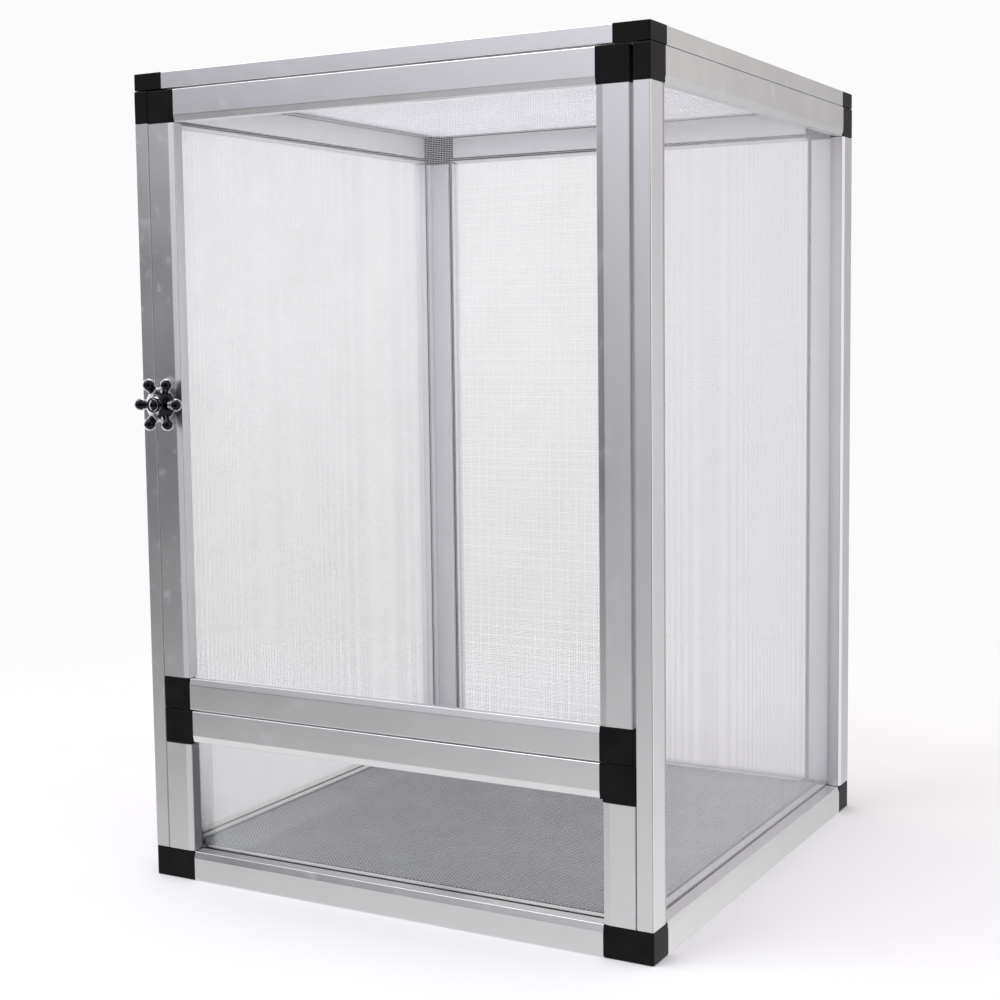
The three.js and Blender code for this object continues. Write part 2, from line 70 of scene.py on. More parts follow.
class Face(Enum):
    """The way a panel looks, as its right, up and outward directions seen from outside."""

    FRONT = ((1, 0, 0), (0, 0, 1), (0, -1, 0))
    BACK = ((-1, 0, 0), (0, 0, 1), (0, 1, 0))
    LEFT = ((0, -1, 0), (0, 0, 1), (-1, 0, 0))
    RIGHT = ((0, 1, 0), (0, 0, 1), (1, 0, 0))
    TOP = ((1, 0, 0), (0, 1, 0), (0, 0, 1))

    @property
    def right(self) -> np.ndarray:
        """The direction along the panel to the right."""
        return np.array(self.value[0], float)

    @property
    def up(self) -> np.ndarray:
        """The direction up the panel."""
        return np.array(self.value[1], float)

    @property
    def out(self) -> np.ndarray:
        """The direction out of the cage."""
        return np.array(self.value[2], float)


class Edge(Enum):
    """An edge of a panel, as how much of right and of up leads from it towards the opening."""

    LEFT = (1, 0)
    RIGHT = (-1, 0)
    BOTTOM = (0, 1)
    TOP = (0, -1)

    def inward(self, face: Face) -> np.ndarray:
        """The direction from this edge towards the middle of the panel."""
        return self.value[0] * face.right + self.value[1] * face.up


class Grain(Enum):
    """The axis that a bar was drawn along."""

    X = 0
    Y = 1
    Z = 2


def box(node: str) -> tuple[np.ndarray, np.ndarray]:
    """The least and the greatest corner of a node of the model."""
    low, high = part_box(node)
    return np.array(low), np.array(high)


def span(node: str, direction: np.ndarray) -> tuple[float, float]:
    """How far a node of the model reaches along an axis direction.

    Args:
        node: the node's name.
        direction: a unit vector along an axis, of either sign.

    Returns:
        The least and the greatest distance along it.
    """
    low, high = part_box(node)
    ends = sorted((float(np.dot(low, direction)), float(np.dot(high, direction))))
    return ends[0], ends[1]


# ------------------------------------------------------------------ shader arithmetic


class Link:
    """A number that a node gives, which can be written in sums."""

    def __init__(self, sheet: "Sheet", socket: bpy.types.NodeSocket) -> None:
        """Keeps the sheet that the socket is on."""
        self.sheet = sheet
        self.socket = socket

    def _math(self, operation: str, first: object, second: object) -> "Link":
        """A Math node on two values."""
        return self.sheet.add("ShaderNodeMath", {"operation": operation}, {0: first, 1: second})

    def __add__(self, other: object) -> "Link":
        """self + other"""
        return self._math("ADD", self, other)

    def __radd__(self, other: object) -> "Link":
        """other + self"""
        return self._math("ADD", other, self)

    def __sub__(self, other: object) -> "Link":
        """self - other"""
        return self._math("SUBTRACT", self, other)

    def __rsub__(self, other: object) -> "Link":
        """other - self"""
        return self._math("SUBTRACT", other, self)

    def __mul__(self, other: object) -> "Link":
        """self * other"""
        return self._math("MULTIPLY", self, other)

    def __rmul__(self, other: object) -> "Link":
        """other * self"""
        return self._math("MULTIPLY", other, self)

    def __pow__(self, other: object) -> "Link":
        """self ** other"""
        return self._math("POWER", self, other)

    def __rpow__(self, other: object) -> "Link":
        """other ** self"""
        return self._math("POWER", other, self)

    def sine(self) -> "Link":
        """The sine of the number."""
        return self._math("SINE", self, 0.0)


class Sheet:
    """The node tree of a material or of the room, filled through one method."""

    def __init__(self, owner: bpy.types.Material | bpy.types.World) -> None:
        """Empties the tree.

        Args:
            owner: the material or the world that it belongs to.
        """
        owner.use_nodes = True
        self.owner = owner
        self.tree = owner.node_tree
        self.tree.nodes.clear()

    @classmethod
    def named(cls, name: str) -> "Sheet":
        """The sheet of a new material."""
        return cls(bpy.data.materials.new(name))

    def add(self, kind: str, settings: dict, inputs: dict, output: object = 0) -> Link | None:
        """Adds a node.

        Args:
            kind: the node's type.
            settings: its properties, set first.
            inputs: a value or a Link for each socket, by name or number.
            output: the socket to give back, by name or number.

        Returns:
            The node's output, or None where it has none.
        """
        node = self.tree.nodes.new(kind)
        for key, value in settings.items():
            setattr(node, key, value)
        for key, value in inputs.items():
            if isinstance(value, Link):
                self.tree.links.new(value.socket, node.inputs[key])
            else:
                node.inputs[key].default_value = value
        return Link(self, node.outputs[output]) if node.outputs else None

    def place(self, scale: tuple[float, float, float] = (1, 1, 1)) -> Link:
        """The object's own coordinates, stretched.

        Args:
            scale: how much along X, Y and Z.

        Returns:
            The coordinates as a vector.
        """
        spot = self.add("ShaderNodeTexCoord", {}, {}, "Object")
        return self.add("ShaderNodeMapping", {}, {"Vector": spot, "Scale": scale})

    def dot(self, vector: Link, line: tuple[float, float, float]) -> Link:
        """The dot product of a vector and a fixed one."""
        inputs = {0: vector, 1: line}
        return self.add("ShaderNodeVectorMath", {"operation": "DOT_PRODUCT"}, inputs, "Value")

    def at_least(self, value: Link, floor: float) -> Link:
        """A number that never falls below a floor."""
        return self.add("ShaderNodeMath", {"operation": "MAXIMUM"}, {0: value, 1: floor})

    def noise(self, spot: Link, scale: float, detail: float = 2.0) -> Link:
        """Cloudy noise between 0 and 1 on these coordinates."""
        inputs = {"Vector": spot, "Scale": scale, "Detail": detail}
        return self.add("ShaderNodeTexNoise", {"noise_dimensions": "3D"}, inputs, 0)

    def ramp(self, value: Link, low: float, high: float, to_low: float, to_high: float) -> Link:
        """A number carried from one range to another and held inside it."""
        inputs = {0: value, 1: low, 2: high, 3: to_low, 4: to_high}
        return self.add("ShaderNodeMapRange", {"clamp": True}, inputs, 0)

    def blend(self, share: Link, first: tuple, second: tuple | Link) -> Link:
        """A colour between two colours."""
        end = second if isinstance(second, Link) else (*second, 1.0)
        inputs = {"Factor": share, MIX_FIRST: (*first, 1.0), MIX_SECOND: end}
        return self.add("ShaderNodeMix", {"data_type": "RGBA"}, inputs, MIX_RESULT)

    def bump(self, height: Link, strength: float, distance: float) -> Link:
        """A normal tilted by a height in metres."""
        inputs = {"Height": height, "Strength": strength, "Distance": distance}
        return self.add("ShaderNodeBump", {}, inputs)

    def surface(self, inputs: dict) -> bpy.types.Material:
        """Ends the tree in one Principled shader.

        Args:
            inputs: its sockets' values and links.

        Returns:
            The finished material.
        """
        return self.close(self.add("ShaderNodeBsdfPrincipled", {}, inputs))

    def close(self, shader: Link, kind: str = "ShaderNodeOutputMaterial") -> bpy.types.Material:
        """Joins a shader to the tree's output node and gives the material back."""
        self.add(kind, {}, {"Surface": shader})
        return self.owner


# ------------------------------------------------------------------ finishes


@dataclass(frozen=True)
class SatinAluminium:
    """A drawn, matt-anodised bar: fine lines along it, faint clouds and handling marks."""

    name: str = "satin"
    light: tuple[float, float, float] = (0.79, 0.79, 0.8)
    dark: tuple[float, float, float] = (0.72, 0.72, 0.735)
    roughness: float = 0.24
    metallic: float = 1.0
    line_scale: float = 2600.0
    line_stretch: float = 0.004
    line_depth: float = 0.06 * MM
    cloud_scale: float = 22.0
    mark_scale: float = 90.0
    mark_dulling: float = 0.08

    def dress(self, grain: Grain) -> bpy.types.Material:
        """The finish for a bar drawn along one axis.

        Args:
            grain: that axis.

        Returns:
            The material.
        """
        sheet = Sheet.named(f"{self.name}_aluminium_{grain.name.lower()}")
        stretch = [1.0, 1.0, 1.0]
        stretch[grain.value] = self.line_stretch
        lines = sheet.noise(sheet.place(tuple(stretch)), self.line_scale)
        clouds = sheet.noise(sheet.place(), self.cloud_scale, 4.0)
        smears = sheet.noise(sheet.place(), self.mark_scale, 6.0)
        marks = sheet.ramp(smears, 0.58, 0.75, 0.0, self.mark_dulling)
        rough = self.roughness + 0.06 * lines + 0.06 * clouds + marks
        return sheet.surface(
            {
                "Base Color": sheet.blend(clouds, self.dark, self.light),
                "Metallic": self.metallic,
                "Roughness": rough,
                "Normal": sheet.bump(lines, 0.12, self.line_depth),
            }
        )


@dataclass(frozen=True)
class MouldedBlack:
    """Black moulded nylon with a fine spark-eroded skin."""

    colour: tuple[float, float, float] = (0.003, 0.003, 0.0035)
    worn: tuple[float, float, float] = (0.008, 0.008, 0.009)
    roughness: float = 0.3
    specular: float = 0.12
    skin_scale: float = 1500.0
    skin_depth: float = 0.08 * MM
    wear_scale: float = 60.0

    def dress(self) -> bpy.types.Material:
        """The finish."""
        sheet = Sheet.named("moulded_black")
        spot = sheet.place()
        skin = sheet.noise(spot, self.skin_scale, 3.0)
        clouds = sheet.noise(spot, self.wear_scale, 4.0)
        wear = sheet.ramp(clouds, 0.4, 0.8, 0.0, 1.0)
        return sheet.surface(
            {
                "Base Color": sheet.blend(wear, self.colour, self.worn),
                "Roughness": self.roughness + 0.12 * skin + 0.1 * clouds,
                "Specular IOR Level": self.specular,
                "Normal": sheet.bump(skin, 0.2, self.skin_depth),
            }
        )


@dataclass(frozen=True)
class Rubber:
    """The spline cord's dark, dusty rubber with a fine grain."""

    colour: tuple[float, float, float] = (0.035, 0.036, 0.042)
    dusty: tuple[float, float, float] = (0.085, 0.087, 0.095)
    dust_scale: float = 240.0
    grain_scale: float = 2200.0
    grain_depth: float = 0.05 * MM

    def dress(self) -> bpy.types.Material:
        """The finish."""
        sheet = Sheet.named("spline_rubber")
        # In the rubber this mottle is dust alone: lighter rubber at random.
        dust_and_low_shade = sheet.noise(sheet.place(), self.dust_scale, 4.0)
        grain = sheet.noise(sheet.place(), self.grain_scale)
        return sheet.surface(
            {
                "Base Color": sheet.blend(dust_and_low_shade, self.colour, self.dusty),
                "Roughness": 0.55 + 0.2 * dust_and_low_shade,
                "Normal": sheet.bump(grain, 0.15, self.grain_depth),
            }
        )


@dataclass(frozen=True)
class Wire:
    """Bright wire whose crimp over and under the crossing wires shows as bands of light.

    The crimp's height is sin(pi x / pitch) * sin(pi y / pitch), across and up the panel.
    """

    name: str
    light: tuple[float, float, float]
    dark: tuple[float, float, float]
    roughness: float
    pitch: float
    # How much the wire darkens towards the bottom, set for each panel: a painted shade.
    dust_and_low_shade: float = 0.9
    metallic: float = 1.0
    # The height in metres where that painted shade ends.
    low_shade_top: float = 0.42
    crimp_depth: float = 0.12 * MM
    cloud_scale: float = 30.0
    grime_scale: float = 700.0

    def dress(self, across: np.ndarray, up: np.ndarray) -> bpy.types.Material:
        """The finish for one panel.

        Args:
            across: the direction of the weft wires.
            up: the direction of the warp wires.

        Returns:
            The material.
        """
        sheet = Sheet.named(self.name)
        spot = sheet.add("ShaderNodeTexCoord", {}, {}, "Object")
        turns = math.pi / self.pitch
        waves = []
        for direction in (across, up):
            line = tuple(float(x) * turns for x in direction)
            waves.append(sheet.dot(spot, line).sine())
        crimp = waves[0] * waves[1]
        clouds = sheet.noise(sheet.place(), self.cloud_scale, 3.0)
        grime = sheet.noise(sheet.place(), self.grime_scale, 2.0)
        # The wire darkens towards the bottom, below a set height and by a strength set for each panel: a
        # painted shade.
        height = sheet.add("ShaderNodeSeparateXYZ", {}, {0: spot}, 2)
        low_shade = sheet.ramp(height, 0.05, self.low_shade_top, 1.0, 0.0)
        bright = 0.6 * clouds + 0.4 * grime - self.dust_and_low_shade * low_shade
        share = sheet.ramp(bright, -0.5, 0.6, 0.0, 1.0)
        return sheet.surface(
            {
                "Base Color": sheet.blend(share, self.dark, self.light),
                "Metallic": self.metallic,
                "Roughness": self.roughness + 0.12 * grime,
                "Normal": sheet.bump(crimp, 0.6, self.crimp_depth),
            }
        )


@dataclass(frozen=True)
class ClearAcrylic:
    """A thin clear pane: it lets light straight through and mirrors more at a shallow angle."""

    tint: tuple[float, float, float] = (0.98, 0.985, 0.985)
    mirror: tuple[float, float, float] = (0.9, 0.92, 0.93)
    ior: float = 1.49
    film_share: float = 0.025

    def dress(self) -> bpy.types.Material:
        """The finish."""
        sheet = Sheet.named("clear_acrylic")
        smudge = sheet.noise(sheet.place(), 35.0, 5.0)
        gloss = sheet.add("ShaderNodeFresnel", {}, {"IOR": self.ior})
        film = sheet.ramp(smudge, 0.5, 0.8, 0.0, self.film_share)
        clear = sheet.add("ShaderNodeBsdfTransparent", {}, {"Color": (*self.tint, 1.0)})
        mirror = sheet.add(
            "ShaderNodeBsdfPrincipled",
            {},
            {
                "Base Color": (*self.mirror, 1.0),
                "Metallic": 1.0,
                "Roughness": sheet.ramp(smudge, 0.3, 0.8, 0.03, 0.12),
            },
        )
        return sheet.close(sheet.add("ShaderNodeMixShader", {}, {0: gloss + film, 1: clear, 2: mirror}))


@dataclass(frozen=True)
class Chrome:
    """Black chrome plating over a buffed casting: deep when faced; its colour brightens where it turns
    away from the view, a painted reflection.
    """

    # The colour of the painted reflection where the surface turns away from the view.
    rim: tuple[float, float, float] = (0.97, 0.97, 0.99)
    deep: tuple[float, float, float] = (0.02, 0.019, 0.023)
    haze_share: float = 0.2
    haze_depth: float = 0.1 * MM
    deep_until: float = 0.3
    painted_glint_from: float = 0.72

    def dress(self) -> bpy.types.Material:
        """The finish."""
        sheet = Sheet.named("dark_chrome")
        haze = sheet.noise(sheet.place(), 260.0, 3.0)
        # The colour runs from deep to the rim colour as the surface turns away from the view: a painted
        # reflection.
        facing = sheet.add("ShaderNodeLayerWeight", {}, {"Blend": 0.5}, "Facing")
        turned = facing + self.haze_share * (haze - 0.5)
        share = sheet.ramp(turned, self.deep_until, self.painted_glint_from, 0.0, 1.0)
        return sheet.surface(
            {
                "Base Color": sheet.blend(share, self.deep, self.rim),
                "Metallic": 1.0,
                "Roughness": sheet.ramp(haze, 0.35, 0.8, 0.04, 0.14),
                "Normal": sheet.bump(haze, 0.06, self.haze_depth),
            }
        )


@dataclass(frozen=True)
class ZincSteel:
    """Zinc-plated steel with a fine spangle."""

    light: tuple[float, float, float] = (0.66, 0.67, 0.7)
    dark: tuple[float, float, float] = (0.45, 0.45, 0.48)
    spangle_scale: float = 700.0
    spangle_depth: float = 0.04 * MM

    def dress(self) -> bpy.types.Material:
        """The finish."""
        sheet = Sheet.named("zinc_steel")
        spangle = sheet.noise(sheet.place(), self.spangle_scale, 5.0)
        return sheet.surface(
            {
                "Base Color": sheet.blend(spangle, self.dark, self.light),
                "Metallic": 1.0,
                "Roughness": 0.26 + 0.18 * spangle,
                "Normal": sheet.bump(spangle, 0.15, self.spangle_depth),
            }
        )


# ------------------------------------------------------------------ meshes


@dataclass
class Surface:
    """Points and faces that grow as shapes are added."""

    points: list[np.ndarray] = field(default_factory=list)
    faces: list[list[int]] = field(default_factory=list)
    count: int = 0

    def add(self, points: np.ndarray, faces: list) -> None:
        """Adds a shape.

        Args:
            points: its corners, as rows of three.
            faces: corner numbers of each face, counted in this shape.
        """
        self.points.append(points.reshape(-1, 3))
        for rows in faces:
            self.faces.extend((np.asarray(rows) + self.count).tolist())
        self.count += len(self.points[-1])

    def merge(self, other: "Surface") -> None:
        """Adds everything that another surface holds."""
        self.add(np.concatenate(other.points), [np.array([face]) for face in other.faces])

    def piece(self, name: str) -> bpy.types.Object:
        """The whole surface as one object in the scene."""
        mesh = bpy.data.meshes.new(name)
        mesh.from_pydata(np.concatenate(self.points).tolist(), [], self.faces)
        mesh.validate()
        made = bpy.data.objects.new(name, mesh)
        bpy.context.scene.collection.objects.link(made)
        return made


def full_turn(steps: int) -> np.ndarray:
    """Angles evenly round a whole turn, in radians: 2 pi k / steps."""
    return np.arange(steps) * 2 * math.pi / steps


def strips(rings: int, sides: int, closed: bool = False) -> np.ndarray:
    """The quads of a grid of rings, each ring a closed loop of the same number of points.

    Args:
        rings: how many rings.
        sides: points in a ring.
        closed: whether the last ring meets the first.

    Returns:
        Four corner numbers for each quad; quad (i, j) joins point j and j + 1 of rings i and i + 1.
    """
    i, j = np.meshgrid(np.arange(rings if closed else rings - 1), np.arange(sides), indexing="ij")
    here, after, beside = i * sides, (i + 1) % rings * sides, (j + 1) % sides
    return np.stack([here + j, here + beside, after + beside, after + j], -1).reshape(-1, 4)


def arc(centre: tuple[float, float], radius: float, first: float, last: float) -> np.ndarray:
    """Points on an arc: centre + radius * (cos a, sin a) as a goes from first to last degrees."""
    turn = np.radians(np.linspace(first, last, ARC_STEPS + 1))
    return np.array(centre) + radius * np.stack([np.cos(turn), np.sin(turn)], -1)


def smooth(piece: bpy.types.Object, sharp_deg: float = 35.0) -> bpy.types.Object:
    """Shades a piece smooth up to an angle, and keeps its flats flat by weighing normals by area."""
    mesh = piece.data
    mesh.polygons.foreach_set("use_smooth", np.ones(len(mesh.polygons), bool))
    mesh.set_sharp_from_angle(angle=math.radians(sharp_deg))
    weighted = piece.modifiers.new("flats", "WEIGHTED_NORMAL")
    weighted.keep_sharp = True
    return piece


def extruded(
    name: str, outer: np.ndarray, hole: np.ndarray, basis: np.ndarray, length: float
) -> bpy.types.Object:
    """A hollow section carried straight along its third axis.

    A point is corner + u * U + v * V + w * W, with (u, v) on the outline and w at either end. The end
    faces are the section's own area, cut into triangles.

    Args:
        name: the piece's name.
        outer: the outline, counter-clockwise.
        hole: the hollow's outline, counter-clockwise too.
        basis: rows U, V, W and the corner.
        length: how far along W.

    Returns:
        The piece.
    """
    surface = Surface()
    flat = np.concatenate([outer, hole])
    for w in (0.0, length):
        surface.add(flat @ basis[:2] + w * basis[2] + basis[3], [])
    total, edge = len(flat), len(outer)
    for first, count, turned in ((0, edge, False), (edge, len(hole), True)):
        i = np.arange(count)
        near, far = first + i, first + (i + 1) % count
        quads = np.stack([near, far, far + total, near + total], -1)
        surface.faces.extend((quads[:, ::-1] if turned else quads).tolist())
    loops = [[Vector((*p, 0)) for p in outer], [Vector((*p, 0)) for p in hole]]
    for a, b, c in tessellate_polygon(loops):
        ab, ac = flat[b] - flat[a], flat[c] - flat[a]
        front = (a, b, c) if ab[0] * ac[1] - ab[1] * ac[0] > 0 else (a, c, b)
        surface.faces.append([k + total for k in front])
        surface.faces.append(list(front[::-1]))
    return surface.piece(name)


def wires(
    surface: Surface, paths: np.ndarray, across: np.ndarray, lift: np.ndarray, radius: float
) -> None:
    """Adds round wires along many paths at once, all with the same bends.

    A point is path + radius * (cos a * across + sin a * lift), where lift is the mitred direction at
    that bend, so that a bent wire keeps its thickness.

    Args:
        surface: what the wires are added to.
        paths: the wires' bends, indexed by wire, bend and coordinate.
        across: the direction square to every wire.
        lift: the other section direction at each bend.
        radius: of the wire.
    """
    sides = WIRE_SIDES
    turn = full_turn(sides)
    rim = np.cos(turn)[None, :, None] * across + np.sin(turn)[None, :, None] * lift[:, None, :]
    points = paths[:, :, None, :] + radius * rim[None]
    count, bends = paths.shape[:2]
    first = np.arange(count)[:, None, None] * bends * sides
    walls = (strips(bends, sides)[None] + first).reshape(-1, 4)
    ring = np.arange(sides)[None, :] + first[:, 0]
    surface.add(points, [walls, ring[:, ::-1], ring + (bends - 1) * sides])


def tube(path: np.ndarray, normal: np.ndarray, radius: float, closed: bool) -> Surface:
    """A round cord along a flat path.

    A point is path + radius * (cos a * side + sin a * normal), where side is square to the path and to
    the plane's normal.

    Args:
        path: points along the cord.
        normal: the plane's normal.
        radius: of the cord.
        closed: whether it joins itself.

    Returns:
        The surface.
    """
    if closed:
        ahead = np.roll(path, -1, 0) - np.roll(path, 1, 0)
    else:
        ahead = np.gradient(path, axis=0)
    ahead /= np.linalg.norm(ahead, axis=1, keepdims=True)
    side = np.cross(normal, ahead)
    sides = CORD_SIDES
    turn = full_turn(sides)
    rim = np.cos(turn)[None, :, None] * side[:, None, :] + np.sin(turn)[None, :, None] * normal
    points = path[:, None, :] + radius * rim
    surface = Surface()
    faces = [strips(len(path), sides, closed)[:, ::-1]]
    if not closed:
        ring = np.arange(sides)[None, :]
        faces += [ring, ring[:, ::-1] + (len(path) - 1) * sides]
    surface.add(points, faces)
    return surface


def lathed(profile: np.ndarray, basis: np.ndarray, segments: int) -> Surface:
    """A profile turned about an axis, whose first and last points lie on it.

    A point is centre + r * (cos a * A + sin a * B) + h * C for each (r, h) of the profile.

    Args:
        profile: radius and height of each point.
        basis: rows A, B, C and the centre.
        segments: steps round the axis.

    Returns:
        The closed surface.
    """
    turn = full_turn(segments)
    spoke = np.cos(turn)[:, None] * basis[0] + np.sin(turn)[:, None] * basis[1]
    inner = profile[1:-1]
    rings = inner[:, 0, None, None] * spoke[None] + inner[:, 1, None, None] * basis[2] + basis[3]
    ends = profile[[0, -1], 1][:, None] * basis[2] + basis[3]
    points = np.concatenate([rings.reshape(-1, 3), ends])
    j = np.arange(segments)
    after = (j + 1) % segments
    pole = len(points) - 2
    last = (len(inner) - 1) * segments
    surface = Surface()
    surface.add(
        points,
        [
            strips(len(inner), segments),
            np.stack([np.full(segments, pole), after, j], -1),
            np.stack([np.full(segments, pole + 1), last + j, last + after], -1),
        ],
    )
    return surface


def outward(piece: bpy.types.Object) -> bpy.types.Object:
    """Merges a closed mesh's doubles and turns its faces out."""
    shape = bmesh.new()
    shape.from_mesh(piece.data)
    bmesh.ops.remove_doubles(shape, verts=shape.verts, dist=DOUBLES)
    bmesh.ops.recalc_face_normals(shape, faces=shape.faces)
    shape.to_mesh(piece.data)
    shape.free()
    return piece


def softened(node: str, radius: float) -> bpy.types.Object:
    """A copy of a solid with its edges eased.

    Args:
        node: the node to copy.
        radius: of the eased edge.

    Returns:
        The copy, which stands for the node.
    """
    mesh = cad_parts[node].data.copy()
    mesh.materials.clear()
    shape = bmesh.new()
    shape.from_mesh(mesh)
    bmesh.ops.remove_doubles(shape, verts=shape.verts, dist=DOUBLES)
    flat = math.radians(1)
    bmesh.ops.dissolve_limit(shape, angle_limit=flat, verts=shape.verts, edges=shape.edges)
    shape.to_mesh(mesh)
    shape.free()
    piece = bpy.data.objects.new(node + "_eased", mesh)
    bpy.context.scene.collection.objects.link(piece)
    ease = piece.modifiers.new("eased_edges", "BEVEL")
    ease.width = radius
    ease.segments = 3
    ease.limit_method = "ANGLE"
    ease.angle_limit = math.radians(30)
    return smooth(piece, 40.0)


def cut(piece: bpy.types.Object, cutter: bpy.types.Object) -> None:
    """Takes one closed shape out of another and throws the cutter away."""
    modifier = piece.modifiers.new("cut", "BOOLEAN")
    modifier.operation = "DIFFERENCE"
    modifier.object = cutter
    bpy.context.view_layer.update()
    evaluated = piece.evaluated_get(bpy.context.evaluated_depsgraph_get())
    mesh = bpy.data.meshes.new_from_object(evaluated)
    piece.modifiers.clear()
    piece.data = mesh
    bpy.data.objects.remove(cutter)


def finished(
    piece: bpy.types.Object, body: str, slot: str, material: bpy.types.Material, *nodes: str
) -> None:
    """Dresses a piece and fastens it to its body.

    Args:
        piece: the piece.
        body: the body it moves with.
        slot: a material slot's name; not used.
        material: its finish.
        nodes: the model's nodes that it stands for.
    """
    piece.data.materials.append(material)
    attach(piece, body)
    if nodes:
        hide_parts(*nodes)
    LOG.info("%s: %d faces on %s", piece.name, len(piece.data.polygons), body)


def lay_cord(
    name: str,
    body: str,
    rubber: bpy.types.Material,
    path: np.ndarray,
    normal: np.ndarray,
    radius: float,
    closed: bool,
) -> None:
    """Makes a finished rubber cord.

    Args:
        name: the piece's name.
        body: the body it moves with.
        rubber: its finish.
        path: points along the cord, in one plane.
        normal: that plane's normal.
        radius: of the cord.
        closed: whether it joins itself.
    """
    piece = outward(tube(path, normal, radius, closed).piece(name))
    finished(smooth(piece, 60.0), body, "corner_block", rubber)


# ------------------------------------------------------------------ bars


def rounded_facet(end: float, width: float, drop: float, nose: float) -> np.ndarray:
    """A face that bends back gently and ends in a rounded nose.

    The bend is eased over a tenth of the facet; the nose is a quarter arc.

    Args:
        end: where the face ends.
        width: of the facet.
        drop: how far it slopes back.
        nose: radius of the nose.

    Returns:
        Points from the flat to the nose's far side, as (along, back).
    """
    start = end - width
    slope = drop / (width - nose)
    ease = 0.1 * width
    t = np.linspace(-1, 1, 5)
    bend = np.stack([start + ease * t, slope * ease * (t + 1) ** 2 / 4], -1)
    lean = math.degrees(math.atan(slope))
    tip = arc((end - nose, drop + nose), nose, lean - 90, 0)
    return np.concatenate([bend, tip])


@dataclass
class BarSection:
    """What the section of every bar has: its width, wall, rounded edge, sloping facet and nose."""

    width: float = 23.5 * MM
    wall: float = 1.2 * MM
    edge: float = 0.8 * MM
    facet: float = 4.8 * MM
    drop: float = 0.9 * MM
    nose: float = 0.5 * MM


@dataclass
class PanelBar(BarSection):
    """The section of a panel's bar: u from the outer edge to the opening, v from the outside inwards."""

    thick: float = 12 * MM
    rebate: float = 6.5 * MM
    lip_u: float = 22.3 * MM
    lip_v: float = 11 * MM
    groove_near: float = 18.4 * MM
    groove_far: float = 21.4 * MM
    groove_floor: float = 7.6 * MM

    def outline(self) -> np.ndarray:
        """The outer outline, counter-clockwise, with its long edges rounded."""
        deep, e = self.thick, self.edge
        face = rounded_facet(self.width, self.facet, self.drop, self.nose)
        corners = [
            (self.width, self.rebate),
            (self.lip_u, self.rebate),
            (self.lip_u, self.lip_v),
            (self.groove_far, self.lip_v),
            (self.groove_far, self.groove_floor),
            (self.groove_near, self.groove_floor),
            (self.groove_near, deep),
        ]
        rounded = [arc((e, deep - e), e, 90, 180), arc((e, e), e, 180, 270)]
        return np.concatenate([face, np.array(corners), *rounded])

    def hollow(self) -> np.ndarray:
        """The hollow's outline, counter-clockwise."""
        w = self.wall
        floor = self.groove_floor - w
        far = self.lip_u - w / 4
        return np.array(
            [
                (w, w),
                (far, w),
                (far, self.rebate - w),
                (self.groove_far - w / 2, self.rebate - w),
                (self.groove_far - w / 2, floor),
                (self.groove_near - w, floor),
                (self.groove_near - w, self.thick - w),
                (w, self.thick - w),
            ]
        )


@dataclass
class BaseRail(BarSection):
    """The section of a base rail: u inwards from the outside face, v up."""

    high: float = 22 * MM
    slot_near: float = 10.6 * MM
    slot_far: float = 13.6 * MM
    groove_near: float = 19.4 * MM
    groove_far: float = 22.4 * MM
    groove_floor: float = 17.6 * MM
    lip: float = 21 * MM

    def outline(self) -> np.ndarray:
        """The outer outline, counter-clockwise."""
        e = self.edge
        facet = rounded_facet(self.high, self.facet, self.drop, self.nose)
        corners = [
            (self.width, 0),
            (self.width, self.lip),
            (self.groove_far, self.lip),
            (self.groove_far, self.groove_floor),
            (self.groove_near, self.groove_floor),
            (self.groove_near, self.high),
            (self.slot_far, self.high),
            (self.slot_far, self.groove_floor),
            (self.slot_near, self.groove_floor),
            (self.slot_near, self.high),
        ]
        return np.concatenate([np.array(corners), facet[::-1, ::-1], arc((e, e), e, 180, 270)])

    def hollow(self) -> np.ndarray:
        """The hollow's outline, counter-clockwise."""
        w = self.wall
        under = self.groove_floor - w
        return np.array(
            [
                (w, w),
                (self.width - w, w),
                (self.width - w, under),
                (self.slot_near - w, under),
                (self.slot_near - w, self.high - w),
                (w, self.high - w),
            ]
        )


def lay_bar(node: str, section: PanelBar | BaseRail, u: np.ndarray, v: np.ndarray) -> bpy.types.Object:
    """A bar in the place of a node.

    Args:
        node: the node that it stands for.
        section: the bar's section.
        u: the direction of the section's u axis.
        v: the direction of its v axis.

    Returns:
        The piece, not yet dressed.
    """
    w = np.cross(u, v)
    low, high = box(node)
    corner = np.where(u + v + w > 0, low, high)
    length = float(np.abs(np.dot(high - low, w)))
    basis = np.stack([u, v, w, corner])
    return extruded(node + "_bar", section.outline(), section.hollow(), basis, length)


def grain_of(direction: np.ndarray) -> Grain:
    """The axis that a direction runs along."""
    return Grain(int(np.argmax(np.abs(direction))))


# ------------------------------------------------------------------ wire cloth


